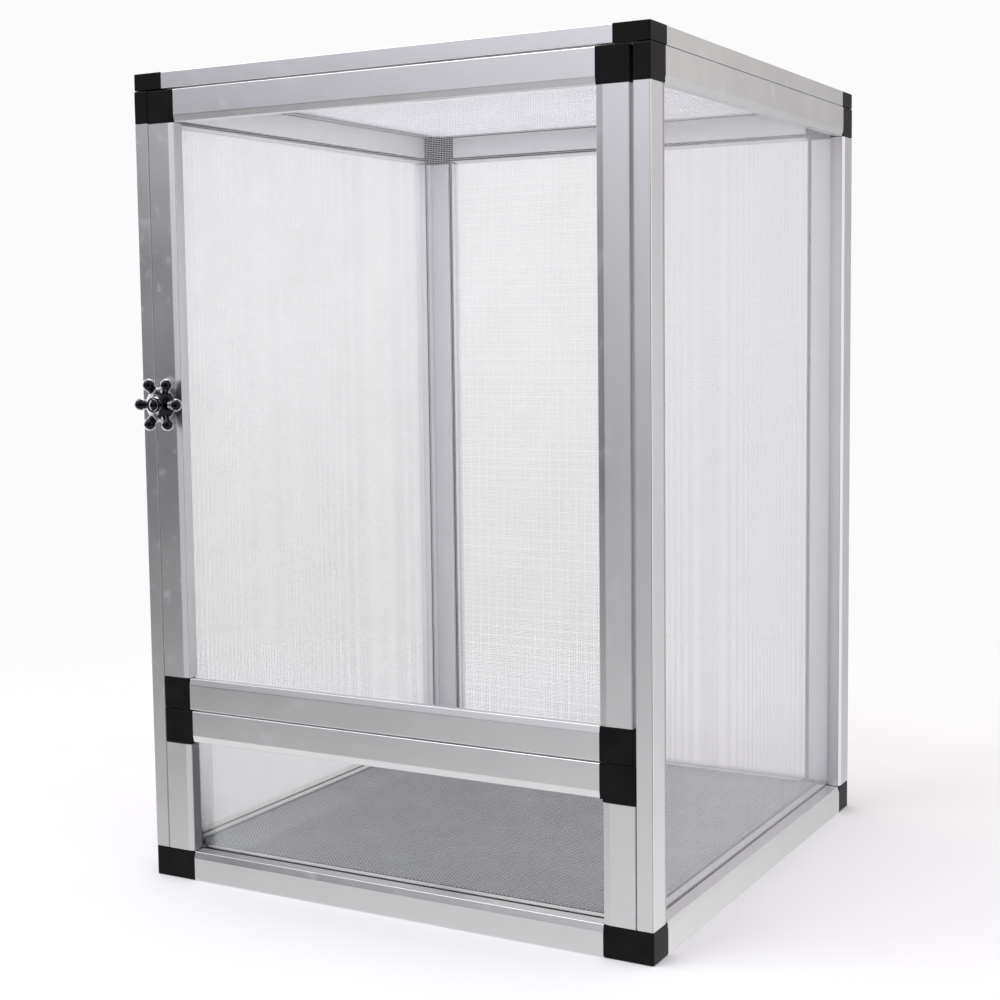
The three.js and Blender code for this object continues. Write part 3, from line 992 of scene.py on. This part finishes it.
@dataclass
class Cloth:
    """Wire cloth behind the lips of a frame, its ends turned down into the grooves.

    Warp wires run up and weft wires run across, one layer on the other. A wire's path runs from the
    groove over the lip, straight to the far lip and down again.
    """

    pitch: float = 1.25 * MM
    radius: float = 0.095 * MM
    turn_down: float = 2.6 * MM
    end_room: float = 2.2

    @property
    def clear(self) -> float:
        """How far a turned-down end keeps from the groove's wall: end_room wire radii."""
        return self.end_room * self.radius

    def weave(
        self,
        surface: Surface,
        along: tuple[float, float],
        places: np.ndarray,
        level: float,
        directions: tuple[np.ndarray, np.ndarray, np.ndarray],
        bends: tuple[bool, bool],
    ) -> None:
        """Adds one layer of wires.

        Args:
            surface: what they are added to.
            along: where a wire starts and ends along its own direction.
            places: where each wire lies across.
            level: the layer's distance along the outward direction.
            directions: the wire's own, the one across and the outward one.
            bends: whether the start and the end are turned down.
        """
        run, across, out = directions
        first, last = bends
        stops = [along[0]] * (1 + first) + [along[1]] * (1 + last)
        drops = [self.turn_down] * first + [0.0, 0.0] + [self.turn_down] * last
        lifts = [-run] * first + [-out - first * run, -out + last * run] + [run] * last
        path = np.outer(stops, run) + np.outer(level + np.array(drops), out)
        paths = path[None] + np.outer(places, across)[:, None, :]
        lift = np.array(lifts)
        if np.dot(np.cross(across, run), lift[len(lift) // 2]) < 0:
            across = -across
        wires(surface, paths, across, lift, self.radius)

    def places(self, low: float, high: float) -> np.ndarray:
        """Evenly spaced places at whole and half pitches, between two limits."""
        first = math.ceil(low / self.pitch - 0.5)
        last = math.floor(high / self.pitch - 0.5)
        return (np.arange(first, last + 1) + 0.5) * self.pitch


def rounded_loop(low: np.ndarray, high: np.ndarray, radius: float) -> np.ndarray:
    """A rectangle's outline with rounded corners, counter-clockwise, in its own two directions."""
    a, b = high - radius, low + radius
    centres = ((a[0], b[1]), (a[0], a[1]), (b[0], a[1]), (b[0], b[1]))
    starts = (-90, 0, 90, 180)
    return np.concatenate([arc(spot, radius, start, start + 90) for spot, start in zip(centres, starts)])


# ------------------------------------------------------------------ panels


@dataclass
class Panel:
    """A framed panel: bars, corner blocks and what fills it."""

    name: str
    face: Face
    body: str
    bars: dict[Edge, str]
    blocks: list[str]
    filling: str
    wire: Wire | None = None
    section: PanelBar = field(default_factory=PanelBar)
    cloth: Cloth = field(default_factory=Cloth)
    cord_radius: float = 1.42 * MM
    cord_bend: float = 2.0 * MM
    # Bars that take the brighter copy of the aluminium: a painted light.
    pale: tuple[str, ...] = ()
    foot_radius: float = 0.9 * MM
    foot_inset: float = 0.8 * MM
    slot_inside: float = 13.6 * MM
    block_edge: float = 0.7 * MM
    cloth_depth: float = 0.6 * MM
    cord_gap: float = 0.5 * MM

    def __post_init__(self) -> None:
        """Finds the panel's own rectangle and its outside face."""
        nodes = [*self.bars.values(), *self.blocks]
        rows = [[span(n, d) for n in nodes] for d in (self.face.right, self.face.up)]
        self.low = np.array([min(s[0] for s in row) for row in rows])
        self.high = np.array([max(s[1] for s in row) for row in rows])
        self.level = max(span(n, self.face.out)[1] for n in self.bars.values())
        self.standing = Edge.BOTTOM not in self.bars

    def build(self, finishes: "Finishes") -> None:
        """Makes every piece of the panel."""
        for edge, node in self.bars.items():
            u, v = edge.inward(self.face), -self.face.out
            piece = self.machined(node, lay_bar(node, self.section, u, v))
            # Bars in that list take the brighter copy of the same aluminium: a painted light.
            tone = finishes.painted_light_bar if node in self.pale else finishes.bar
            finished(smooth(piece), self.body, "frame_bar", tone[grain_of(np.cross(u, v))], node)
        for node in self.blocks:
            finished(softened(node, self.block_edge), self.body, "corner_block", finishes.block, node)
        self.fill(finishes)

    def machined(self, node: str, piece: bpy.types.Object) -> bpy.types.Object:
        """Cuts a bar's holes; a plain bar has none."""
        return piece

    def groove(self, edge_offset: float) -> tuple[np.ndarray, np.ndarray]:
        """The rectangle at one distance inside the panel's outline."""
        return self.low + edge_offset, self.high - edge_offset

    def fill(self, finishes: "Finishes") -> None:
        """Makes the wire cloth and the cord that holds it."""
        right, up, out = self.face.right, self.face.up, self.face.out
        low, high = self.groove(self.section.groove_far - self.cloth.clear)
        foot = span(self.filling, up)[0] if self.standing else low[1]
        sheet = self.level - self.section.lip_v - self.cloth_depth
        surface = Surface()
        stops, bends = (foot, high[1]), (not self.standing, True)
        places = self.cloth.places(low[0], high[0])
        self.cloth.weave(surface, stops, places, sheet + self.cloth.radius, (up, right, out), bends)
        stops, bends = (low[0], high[0]), (True, True)
        places = self.cloth.places(foot + self.cloth.pitch, high[1])
        self.cloth.weave(surface, stops, places, sheet - self.cloth.radius, (right, up, out), bends)
        material = self.wire.dress(right, up)
        piece = surface.piece(self.name + "_wire_cloth")
        finished(piece, self.body, "wire_screen", material, self.filling)
        self.cords(finishes)

    def cords(self, finishes: "Finishes") -> None:
        """Makes the spline cord round the groove, and the straight one in the base's slot."""
        right, up, out = self.face.right, self.face.up, self.face.out
        middle = (self.section.groove_near + self.section.groove_far) / 2
        low, high = self.groove(middle)
        depth = self.level - self.section.groove_floor - self.cord_radius - self.cord_gap
        loop = rounded_loop(low, high, self.cord_bend)
        if self.standing:
            bottom = span(self.bars[Edge.LEFT], up)[0]
            ends = np.array([[low[0], bottom + MM], [high[0], bottom + MM]])
            half = len(loop) // 4
            loop = np.concatenate([ends[1:], loop[half : 3 * half], ends[:1]])
        path = loop @ np.stack([right, up]) + depth * out
        name = self.name + "_spline_cord"
        lay_cord(name, self.body, finishes.rubber, path, out, self.cord_radius, not self.standing)
        if self.standing:
            self.foot_cord(finishes)

    def foot_cord(self, finishes: "Finishes") -> None:
        """Makes the straight cord that jams the foot of the wire cloth in the base's slot."""
        right, up, out = self.face.right, self.face.up, self.face.out
        inset = self.section.width + self.foot_inset
        low, high = self.low[0] + inset, self.high[0] - inset
        top = span(self.bars[Edge.LEFT], up)[0]
        depth = self.level - self.slot_inside + self.foot_radius + 0.05 * MM
        steps = np.linspace(low, high, 24)
        height = top - self.foot_radius - self.cord_gap
        path = np.outer(steps, right) + depth * out + height * up
        name = self.name + "_foot_cord"
        lay_cord(name, self.body, finishes.rubber, path, up, self.foot_radius, False)


@dataclass
class LatchSide(Panel):
    """The side panel whose front stile has the slot for the latch's tongue."""

    slot_from_front: tuple[float, float] = (12.1 * MM, 15.4 * MM)
    slot_up: tuple[float, float] = (353 * MM, 380 * MM)
    slot_node: str = "left_stile_front"

    def machined(self, node: str, piece: bpy.types.Object) -> bpy.types.Object:
        """Cuts the slot into the front stile."""
        if node != self.slot_node:
            return piece
        low, high = box(node)
        near, far = self.slot_from_front
        start = (high[0] - self.section.wall * 2, low[1] + near, self.slot_up[0])
        end = (high[0] + MM, low[1] + far, self.slot_up[1])
        cut(piece, slab(start, end))
        return piece


@dataclass
class Door(Panel):
    """The door, whose free stile has the spindle's hole."""

    hole_radius: float = 3.3 * MM
    hole_node: str = "door_stile_latch"

    def machined(self, node: str, piece: bpy.types.Object) -> bpy.types.Object:
        """Bores the hole through the free stile."""
        if node != self.hole_node:
            return piece
        low, high = box("latch_spindle")
        centre = (low + high) / 2
        reach = high[1] - low[1]
        profile = np.array([(0, 0), (self.hole_radius, 0), (self.hole_radius, reach), (0, reach)])
        basis = np.array([(0, 0, 1), (1, 0, 0), (0, 1, 0), (centre[0], low[1], centre[2])], float)
        cut(piece, outward(lathed(profile, basis, 48).piece("spindle_bore")))
        return piece


@dataclass
class GlazedPanel(Panel):
    """The lower front, which holds a clear pane behind a gasket."""

    pane_thick: float = 1.8 * MM
    pane_depth: float = 0.3 * MM
    pane_gap: float = 0.5 * MM

    def foot_cord(self, finishes: "Finishes") -> None:
        """The pane fills the base's slot, so it has no cord there."""

    def fill(self, finishes: "Finishes") -> None:
        """Makes the pane and its gasket."""
        right, up, out = self.face.right, self.face.up, self.face.out
        low, high = self.groove(self.section.groove_near + self.pane_gap)
        foot = span(self.filling, up)[0]
        back = self.level - self.section.lip_v - self.pane_depth - self.pane_thick
        shoulder = span(self.bars[Edge.LEFT], up)[0] + self.pane_gap
        inset = self.section.width + self.foot_inset - self.section.groove_near
        corners = np.array(
            [
                (low[0] + inset, foot),
                (high[0] - inset, foot),
                (high[0] - inset, shoulder),
                (high[0], shoulder),
                (high[0], high[1]),
                (low[0], high[1]),
                (low[0], shoulder),
                (low[0] + inset, shoulder),
            ]
        )
        flat = corners @ np.stack([right, up]) + back * out
        surface = Surface()
        count = len(corners)
        i = np.arange(count)
        after = (i + 1) % count
        walls = np.stack([i, after, after + count, i + count], -1)
        points = np.concatenate([flat, flat + self.pane_thick * out])
        surface.add(points, [walls, i[None, ::-1], i[None] + count])
        pane = outward(surface.piece("lower_clear_pane"))
        ease = pane.modifiers.new("polished_edges", "BEVEL")
        ease.width = 0.2 * MM
        ease.segments = 2
        finished(pane, self.body, "clear_pane", finishes.pane, self.filling)
        self.cords(finishes)


def slab(low: tuple[float, float, float], high: tuple[float, float, float]) -> bpy.types.Object:
    """A plain block between two corners, used only to cut with."""
    ends = np.array([low, high])
    index = np.array([[0, 0], [1, 0], [1, 1], [0, 1]])
    x, y = ends[index[:, 0], 0], ends[index[:, 1], 1]
    rings = [np.stack([x, y, np.full(4, z)], -1) for z in ends[:, 2]]
    surface = Surface()
    surface.add(np.concatenate(rings), [strips(2, 4), [[3, 2, 1, 0]], [[4, 5, 6, 7]]])
    return surface.piece("cutter")


# ------------------------------------------------------------------ base


@dataclass
class Base:
    """The base: four rails with the panels' slot and the floor's groove, four blocks and the floor."""

    rails: dict[str, tuple[float, float, float]]
    blocks: list[str]
    wire: Wire
    floor: str = "floor_screen"
    body: str = "frame"
    section: BaseRail = field(default_factory=BaseRail)
    cloth: Cloth = field(default_factory=lambda: Cloth(FLOOR_PITCH, 0.42 * MM))
    cord_radius: float = 1.3 * MM
    cord_bend: float = 2 * MM
    cord_gap: float = 0.4 * MM
    clearance: float = 0.05 * MM
    rim: float = 0.3 * MM
    block_edge: float = 0.8 * MM

    def build(self, finishes: "Finishes") -> None:
        """Makes every piece of the base."""
        up = np.array([0, 0, 1.0])
        for node, inward in self.rails.items():
            u = np.array(inward, float)
            piece = smooth(lay_bar(node, self.section, u, up))
            finished(piece, self.body, "frame_bar", finishes.bar[grain_of(np.cross(u, up))], node)
        for node in self.blocks:
            finished(softened(node, self.block_edge), self.body, "corner_block", finishes.block, node)
        self.lay_floor(finishes)

    def lay_floor(self, finishes: "Finishes") -> None:
        """Makes the floor's wire cloth and its cord."""
        x, y, z = np.eye(3)
        low, high = box(self.floor)
        groove = self.section.groove_far - self.section.groove_near
        edge = groove - self.rim - self.cloth.clear
        start, end = low[:2] + edge, high[:2] - edge
        surface = Surface()
        radius = self.cloth.radius
        sheet = self.section.lip + 2 * radius + self.clearance
        for run, across, a, level in ((y, x, 1, sheet + radius), (x, y, 0, sheet - radius)):
            places = self.cloth.places(start[1 - a], end[1 - a])
            stops = (start[a], end[a])
            self.cloth.weave(surface, stops, places, -level, (run, across, -z), (True, True))
        material = self.wire.dress(x, y)
        finished(surface.piece("floor_wire_cloth"), self.body, "wire_screen", material, self.floor)
        middle = groove / 2 - self.rim
        loop = rounded_loop(low[:2] + middle, high[:2] - middle, self.cord_bend)
        height = self.section.groove_floor + self.cord_radius + self.cord_gap
        path = loop @ np.stack([x, y]) + height * z
        lay_cord("floor_spline_cord", self.body, finishes.rubber, path, z, self.cord_radius, True)


# ------------------------------------------------------------------ latch and pins


@dataclass
class Latch:
    """The six-lobed knob, its spindle, tongue and nut."""

    body: str = "latch"
    lobes: int = 6
    ring_radius: float = 16.6 * MM
    lobe_radius: float = 4.7 * MM
    lobe_height: float = 12 * MM
    arm_radius: float = 4.1 * MM
    arm_root: tuple[float, float] = (8 * MM, 8.6 * MM)
    spindle_radius: float = 3 * MM
    thread_pitch: float = 1.0 * MM
    thread_depth: float = 0.45 * MM
    thread_length: float = 9 * MM
    part_edge: float = 0.3 * MM

    def build(self, finishes: "Finishes") -> None:
        """Makes every piece of the latch."""
        finished(self.knob(), self.body, "chrome_knob", finishes.chrome, "latch_knob")
        finished(self.spindle(), self.body, "plated_steel", finishes.steel, "latch_spindle")
        for node in ("latch_cam", "latch_nut"):
            finished(softened(node, self.part_edge), self.body, "plated_steel", finishes.steel, node)

    def basis(self) -> np.ndarray:
        """Right, up, outwards and the middle of the stile's face under the knob."""
        low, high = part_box("latch_spindle")
        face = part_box("door_stile_latch")[0][1]
        centre = ((low[0] + high[0]) / 2, face, (low[2] + high[2]) / 2)
        return np.array([(1, 0, 0), (0, 0, 1), (0, -1, 0), centre], float)

    def hub_profile(self) -> np.ndarray:
        """The hub's outline as radius and height: a foot, a waist, a domed skirt and a ringed cap."""
        foot = [
            (0, 14),
            (3.3, 14),
            (3.3, 1),
            (7.1, 1),
            (7.5, 1.4),
            (7.5, 2.2),
            (7.1, 2.7),
            (5.6, 3.4),
            (5.2, 4),
            (5.4, 5),
            (8.4, 5.8),
            (11.4, 6.6),
            (12.5, 7.4),
        ]
        cap = [
            (6.3, 15.4),
            (6.2, 16),
            (6.2, 17.3),
            (5.9, 18.0),
            (5.2, 18.4),
            (4.7, 18.3),
            (4.2, 17.9),
            (3.6, 18.1),
            (2.4, 18.7),
            (1.2, 18.95),
            (0, 19),
        ]
        turn = np.radians(np.linspace(0, 78, 14))
        dome = np.stack([12.8 * np.cos(turn) ** 0.8, 8.4 + 6.6 * np.sin(turn)], -1)
        dome = dome[dome[:, 0] > 6.8]
        return np.concatenate([np.array(foot), dome, np.array(cap)]) * MM

    def knob(self) -> bpy.types.Object:
        """The knob: the turned hub and arms that swell into balls.

        An arm is turned about its own line: its radius is the arm's, then that of the ball.
        """
        basis = self.basis()
        whole = lathed(self.hub_profile(), basis, 72)
        right, up, out, centre = basis
        for k in range(self.lobes):
            angle = k * 2 * math.pi / self.lobes
            spoke = math.cos(angle) * right + math.sin(angle) * up
            side = np.cross(out, spoke)
            root = centre + self.arm_root[0] * spoke + self.arm_root[1] * out
            ball = centre + self.ring_radius * spoke + self.lobe_height * out
            line = ball - root
            length = float(np.linalg.norm(line))
            line /= length
            turned = np.stack([side, np.cross(line, side), line, root])
            whole.merge(lathed(self.arm_profile(length), turned, 28))
        return smooth(outward(whole.piece("star_knob")), 40.0)

    def arm_profile(self, length: float) -> np.ndarray:
        """An arm's outline: a straight neck that flares into a ball centred at its end."""
        neck = self.arm_radius
        start = math.degrees(math.asin(neck * 0.92 / self.lobe_radius))
        turn = np.radians(np.linspace(180 - start, 0, 16))
        ball = np.stack([self.lobe_radius * np.sin(turn), length + self.lobe_radius * np.cos(turn)], -1)
        ball[-1, 0] = 0.0
        return np.concatenate([np.array([(0, 0), (neck, 0), (neck * 0.9, length * 0.35)]), ball])

    def spindle(self) -> bpy.types.Object:
        """The spindle with its rolled thread at the inner end.

        A point is centre + r * (cos a * A + sin a * B) + h * C, where on the thread r dips by a saw-tooth
        of the turn and the height together, which makes a helix.
        """
        right, up, out, centre = self.basis()
        low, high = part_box("latch_spindle")
        bottom, top = centre[1] - high[1], centre[1] - low[1]
        heights = np.linspace(bottom, top, 220)
        segments = 32
        turn = full_turn(segments)
        phase = (heights[:, None] / self.thread_pitch + turn[None] / (2 * math.pi)) % 1.0
        threaded = (heights < bottom + self.thread_length)[:, None]
        end = np.clip((heights - bottom) / (0.7 * MM), 0, 1)[:, None]
        dip = self.thread_depth * np.abs(2 * phase - 1) * threaded + (1 - end) * 0.6 * MM
        radius = np.full((len(heights), segments), self.spindle_radius) - dip
        spoke = np.cos(turn)[:, None] * right + np.sin(turn)[:, None] * up
        rings = radius[:, :, None] * spoke[None] + heights[:, None, None] * out + centre
        surface = Surface()
        ring = np.arange(segments)[None]
        last = (len(heights) - 1) * segments
        surface.add(rings, [strips(len(heights), segments), ring[:, ::-1], ring + last])
        return smooth(outward(surface.piece("threaded_spindle")), 40.0)


@dataclass
class PivotPins:
    """The two pins that the door turns on, with chamfered ends."""

    nodes: tuple[str, str] = ("pivot_pin_top", "pivot_pin_bottom")
    chamfer: float = 0.35 * MM

    def build(self, finishes: "Finishes") -> None:
        """Makes both pins."""
        for node in self.nodes:
            low, high = box(node)
            radius, tall = (high[0] - low[0]) / 2, high[2] - low[2]
            c = self.chamfer
            half = [(0, 0), (radius - c, 0), (radius, c)]
            profile = half + [(r, tall - h) for r, h in reversed(half)]
            centre = np.array([(low[0] + high[0]) / 2, (low[1] + high[1]) / 2, low[2]])
            basis = np.concatenate([np.eye(3), centre[None]])
            piece = outward(lathed(np.array(profile), basis, 40).piece(node + "_turned"))
            finished(smooth(piece), "frame", "plated_steel", finishes.steel, node)


# ------------------------------------------------------------------ finishes in use


class Finishes:
    """Every finish that is used on more than one piece, made once."""

    def __init__(self) -> None:
        """Makes the materials."""
        self.bar = {grain: SatinAluminium().dress(grain) for grain in Grain}
        # A brighter, less metallic copy of the same aluminium for the inner bars of the back and left
        # panels: a painted light, standing for the brighter light that these bars catch.
        painted_light = SatinAluminium("painted_light", (0.95, 0.95, 0.97), (0.9, 0.9, 0.93), 0.42, metallic=0.35)
        self.painted_light_bar = {grain: painted_light.dress(grain) for grain in Grain}
        self.block = MouldedBlack().dress()
        self.rubber = Rubber().dress()
        self.pane = ClearAcrylic().dress()
        self.chrome = Chrome().dress()
        self.steel = ZincSteel().dress()


# ------------------------------------------------------------------ studio


@dataclass
class Studio:
    """A pale floor, a soft room of light and the camera."""

    camera_place: tuple[float, float, float] = (0.63307, -1.16723, 0.41416)
    azimuth: float = 29.22
    elevation: float = 5.21
    roll: float = -0.713
    lens: float = 60.70
    shift: tuple[float, float] = (0.00887, -0.02122)
    floor_rings: tuple[float, float] = (0.5, 2.4)
    floor_clear: tuple[float, float] = (0.42, 1.1)
    floor_drop: float = 0.2 * MM
    backdrop: float = 0.965
    least_glow: float = 0.02

    def build(self) -> None:
        """Makes the floor, the light and the camera."""
        self.lay_floor()
        self.light_room()
        self.add_light("key", (-0.9, -1.3, 2.8), 24.0, 1.6)
        self.add_light("side", (2.4, 0.3, 1.7), 7.0, 1.5)
        self.aim_camera()
        view = bpy.context.scene.view_settings
        view.view_transform = "Standard"
        view.look = "None"

    def lay_floor(self) -> None:
        """The floor: a flat disc just under the cage, of rings r * (cos a, sin a) round a middle point.

        Its matt surface fades to clear as the distance from the middle goes through floor_clear.
        """
        segments = 96
        turn = full_turn(segments)
        spoke = np.stack([np.cos(turn), np.sin(turn), np.zeros(segments)], -1)
        rings = [radius * spoke for radius in self.floor_rings]
        points = np.concatenate([*rings, np.zeros((1, 3))]) - np.array([0, 0, self.floor_drop])
        surface = Surface()
        j = np.arange(segments)
        fan = np.stack([np.full(segments, 2 * segments), j, (j + 1) % segments], -1)
        surface.add(points, [strips(2, segments)[:, ::-1], fan])
        floor = surface.piece("studio_floor")
        sheet = Sheet.named("pale_floor")
        mottle = sheet.noise(sheet.place(), 6.0, 3.0)
        grey = sheet.blend(mottle, (0.86, 0.86, 0.86), (0.89, 0.89, 0.89))
        matt = sheet.add("ShaderNodeBsdfPrincipled", {}, {"Base Color": grey, "Roughness": 0.9})
        away = sheet.add("ShaderNodeVectorMath", {"operation": "LENGTH"}, {0: sheet.place()}, "Value")
        clear = sheet.add("ShaderNodeBsdfTransparent", {}, {})
        gone = sheet.ramp(away, *self.floor_clear, 0.0, 1.0)
        faded = sheet.add("ShaderNodeMixShader", {}, {0: gone, 1: matt, 2: clear})
        floor.data.materials.append(sheet.close(faded))
        floor.visible_glossy = False

    def light_room(self) -> None:
        """The room's light, as a strength and a tint for each direction.

        The camera sees an even white. Everything else is lit by 1 - cards - behind + beside + edges:
        low_card, high_card and lens_side are darker cards in front, behind darkens the far side by
        steps of height * depth, beside brightens the right, and edges brightens what is above the
        horizon and well below it.
        """
        world = bpy.data.worlds.new("soft_room")
        bpy.context.scene.world = world
        sheet = Sheet(world)
        spot = sheet.add("ShaderNodeTexCoord", {}, {}, "Generated")

        def towards(line: tuple[float, float, float]) -> Link:
            """How far a direction points along a line."""
            return sheet.dot(spot, line)

        height, depth = towards((0, 0, 1)), towards((0, 1, 0))
        raised_depth = sheet.at_least(height, 0.0) * depth
        off_level = (height + 0.07) * 4.3
        band = math.e ** (-1.0 * off_level * off_level) * sheet.ramp(height, -0.36, -0.2, 0.0, 1.0)
        low_card = 1.18 * band * math.e ** (10.5 * (towards((-0.72, -0.694, 0)) - 1.0))
        high_card = 0.42 * math.e ** (60.0 * (towards((-0.685, -0.713, 0.15)) - 1.0))
        lens_side = sheet.ramp(towards((0.48, -0.87, 0.1)), 0.76, 0.9, 0.0, 0.95)
        cards = low_card + high_card + lens_side
        behind = (
            sheet.ramp(depth, 0.84, 1.0, 0.0, 0.74)
            + sheet.ramp(height * depth, 0.0, 0.2, 0.0, 0.2)
            + sheet.ramp(height * depth, -0.3, -0.05, 0.08, 0.0)
            + sheet.ramp(raised_depth, 0.0, 0.2, 0.0, 0.25)
        )
        beside = sheet.ramp(towards((0.88, 0.47, 0.05)), 0.88, 0.98, 0.0, 0.2)
        edges = sheet.ramp(height, 0.02, 0.2, 0.0, 0.3) + sheet.ramp(height, -0.4, -0.24, 0.15, 0.0)
        glow = sheet.at_least(1.0 - cards - behind + beside + edges, self.least_glow)

        seen = sheet.add("ShaderNodeLightPath", {}, {}, "Is Camera Ray")
        unseen = 1.0 - seen
        farness = sheet.ramp(depth, -0.5, 0.5, 0.0, 1.0)
        tint = sheet.blend(farness, (0.98, 0.975, 1.05), (1.03, 0.98, 0.955))
        raised = sheet.ramp(height, -0.05, 0.2, 0.0, 1.0) * unseen
        colour = sheet.blend(raised, (1, 1, 1), tint)
        strength = seen * self.backdrop + unseen * glow
        sky = sheet.add("ShaderNodeBackground", {}, {"Color": colour, "Strength": strength})
        sheet.close(sky, "ShaderNodeOutputWorld")

    def add_light(self, name: str, place: tuple[float, float, float], power: float, size: float) -> None:
        """A square soft light aimed at the middle of the cage."""
        lamp = bpy.data.lights.new(name, "AREA")
        lamp.energy = power
        lamp.size = size
        lit = bpy.data.objects.new(name, lamp)
        bpy.context.scene.collection.objects.link(lit)
        away = Vector(place) - Vector((0, 0, 0.3))
        lit.location = place
        lit.rotation_euler = away.to_track_quat("Z", "Y").to_euler()

    def aim_camera(self) -> None:
        """The camera: its back axis from azimuth and elevation, then turned by the roll."""
        az, el, roll = (math.radians(a) for a in (self.azimuth, self.elevation, self.roll))
        back = Vector((math.sin(az) * math.cos(el), -math.cos(az) * math.cos(el), math.sin(el)))
        right = (-back).cross(Vector((0, 0, 1))).normalized()
        up = right.cross(-back)
        right, up = (
            math.cos(roll) * right + math.sin(roll) * up,
            -math.sin(roll) * right + math.cos(roll) * up,
        )
        data = bpy.data.cameras.new("camera")
        data.lens = self.lens
        data.sensor_width = 36.0
        data.shift_x, data.shift_y = self.shift
        camera = bpy.data.objects.new("camera", data)
        bpy.context.scene.collection.objects.link(camera)
        turn = Matrix((right, up, back)).transposed().to_4x4()
        camera.matrix_world = Matrix.Translation(self.camera_place) @ turn
        bpy.context.scene.camera = camera


# ------------------------------------------------------------------ assembly


# The screens are one wire cloth; each copy here has its own brightness and its own darkening towards the
# bottom, set for how light falls on its panel: painted light and shade. The right panel's copy is the lit
# one; the back and left copy and the lid's copy are darker, shaded ones, and the door's copy darkens most
# towards the bottom.
BRIGHT = Wire("bright_wire", (0.97, 0.965, 0.99), (0.8, 0.8, 0.82), 0.3, Cloth.pitch, 0.06, 0.6)
DOOR = Wire("door_wire", (0.97, 0.965, 0.99), (0.6, 0.6, 0.61), 0.3, Cloth.pitch, 0.8, 0.8)
SHADED_WIRE = Wire("shaded_wire", (0.96, 0.955, 0.985), (0.54, 0.54, 0.55), 0.3, Cloth.pitch, 0.7)
LID = Wire("lid_wire", (0.66, 0.66, 0.69), (0.52, 0.52, 0.54), 0.34, Cloth.pitch, 0.06)
# The floor's wire is darkened to stand for the shade under the cage: a painted shade.
FLOOR = Wire("floor_wire", (0.38, 0.38, 0.415), (0.17, 0.17, 0.195), 0.4, FLOOR_PITCH, dust_and_low_shade=0.0)


def side_bars(side: str, first: str, second: str, top: str) -> dict[Edge, str]:
    """The bars of a panel that stands on the base, by the edge they are on."""
    return {
        Edge.LEFT: f"{side}_stile_{first}",
        Edge.RIGHT: f"{side}_stile_{second}",
        Edge.TOP: top,
    }


def panels() -> list[Panel]:
    """Every framed panel of the cage, from the back to the door."""
    return [
        Panel(
            "back",
            Face.BACK,
            "frame",
            side_bars("back", "right", "left", "back_top_rail"),
            ["back_corner_left", "back_corner_right"],
            "back_screen",
            SHADED_WIRE,
            pale=("back_stile_right", "back_stile_left", "back_top_rail"),
        ),
        LatchSide(
            "left",
            Face.LEFT,
            "frame",
            side_bars("left", "rear", "front", "left_top_rail"),
            ["left_corner_rear", "left_corner_front"],
            "left_screen",
            SHADED_WIRE,
            pale=("left_stile_rear", "left_top_rail"),
        ),
        Panel(
            "right",
            Face.RIGHT,
            "frame",
            side_bars("right", "front", "rear", "right_top_rail"),
            ["right_corner_front", "right_corner_rear"],
            "right_screen",
            BRIGHT,
        ),
        Panel(
            "top",
            Face.TOP,
            "frame",
            {edge: "top_rail_" + end for edge, end in zip(Edge, ("left", "right", "front", "rear"))},
            [f"top_corner_{end}_{side}" for end in ("front", "rear") for side in ("left", "right")],
            "top_screen",
            LID,
        ),
        GlazedPanel(
            "lower_front",
            Face.FRONT,
            "frame",
            side_bars("lower", "left", "right", "middle_rail"),
            ["middle_connector_left", "middle_connector_right"],
            "lower_pane",
        ),
        Door(
            "door",
            Face.FRONT,
            "door",
            {
                Edge.LEFT: "door_stile_latch",
                Edge.RIGHT: "door_stile_hinge",
                Edge.BOTTOM: "door_rail_bottom",
                Edge.TOP: "door_rail_top",
            },
            [f"door_corner_{end}_{side}" for end in ("bottom", "top") for side in ("left", "right")],
            "door_screen",
            DOOR,
        ),
    ]


def base() -> Base:
    """The cage's base."""
    return Base(
        {
            "base_rail_front": (0, 1, 0),
            "base_rail_rear": (0, -1, 0),
            "base_rail_left": (1, 0, 0),
            "base_rail_right": (-1, 0, 0),
        },
        [f"base_corner_{end}_{side}" for end in ("front", "rear") for side in ("left", "right")],
        FLOOR,
    )


def main() -> None:
    """Builds the cage and its studio, and reports each piece."""
    logging.basicConfig(level=logging.INFO, format="%(message)s")
    Studio().build()
    finishes = Finishes()
    base().build(finishes)
    for panel in panels():
        panel.build(finishes)
    Latch().build(finishes)
    PivotPins().build(finishes)


if __name__ == "__main__":
    main()
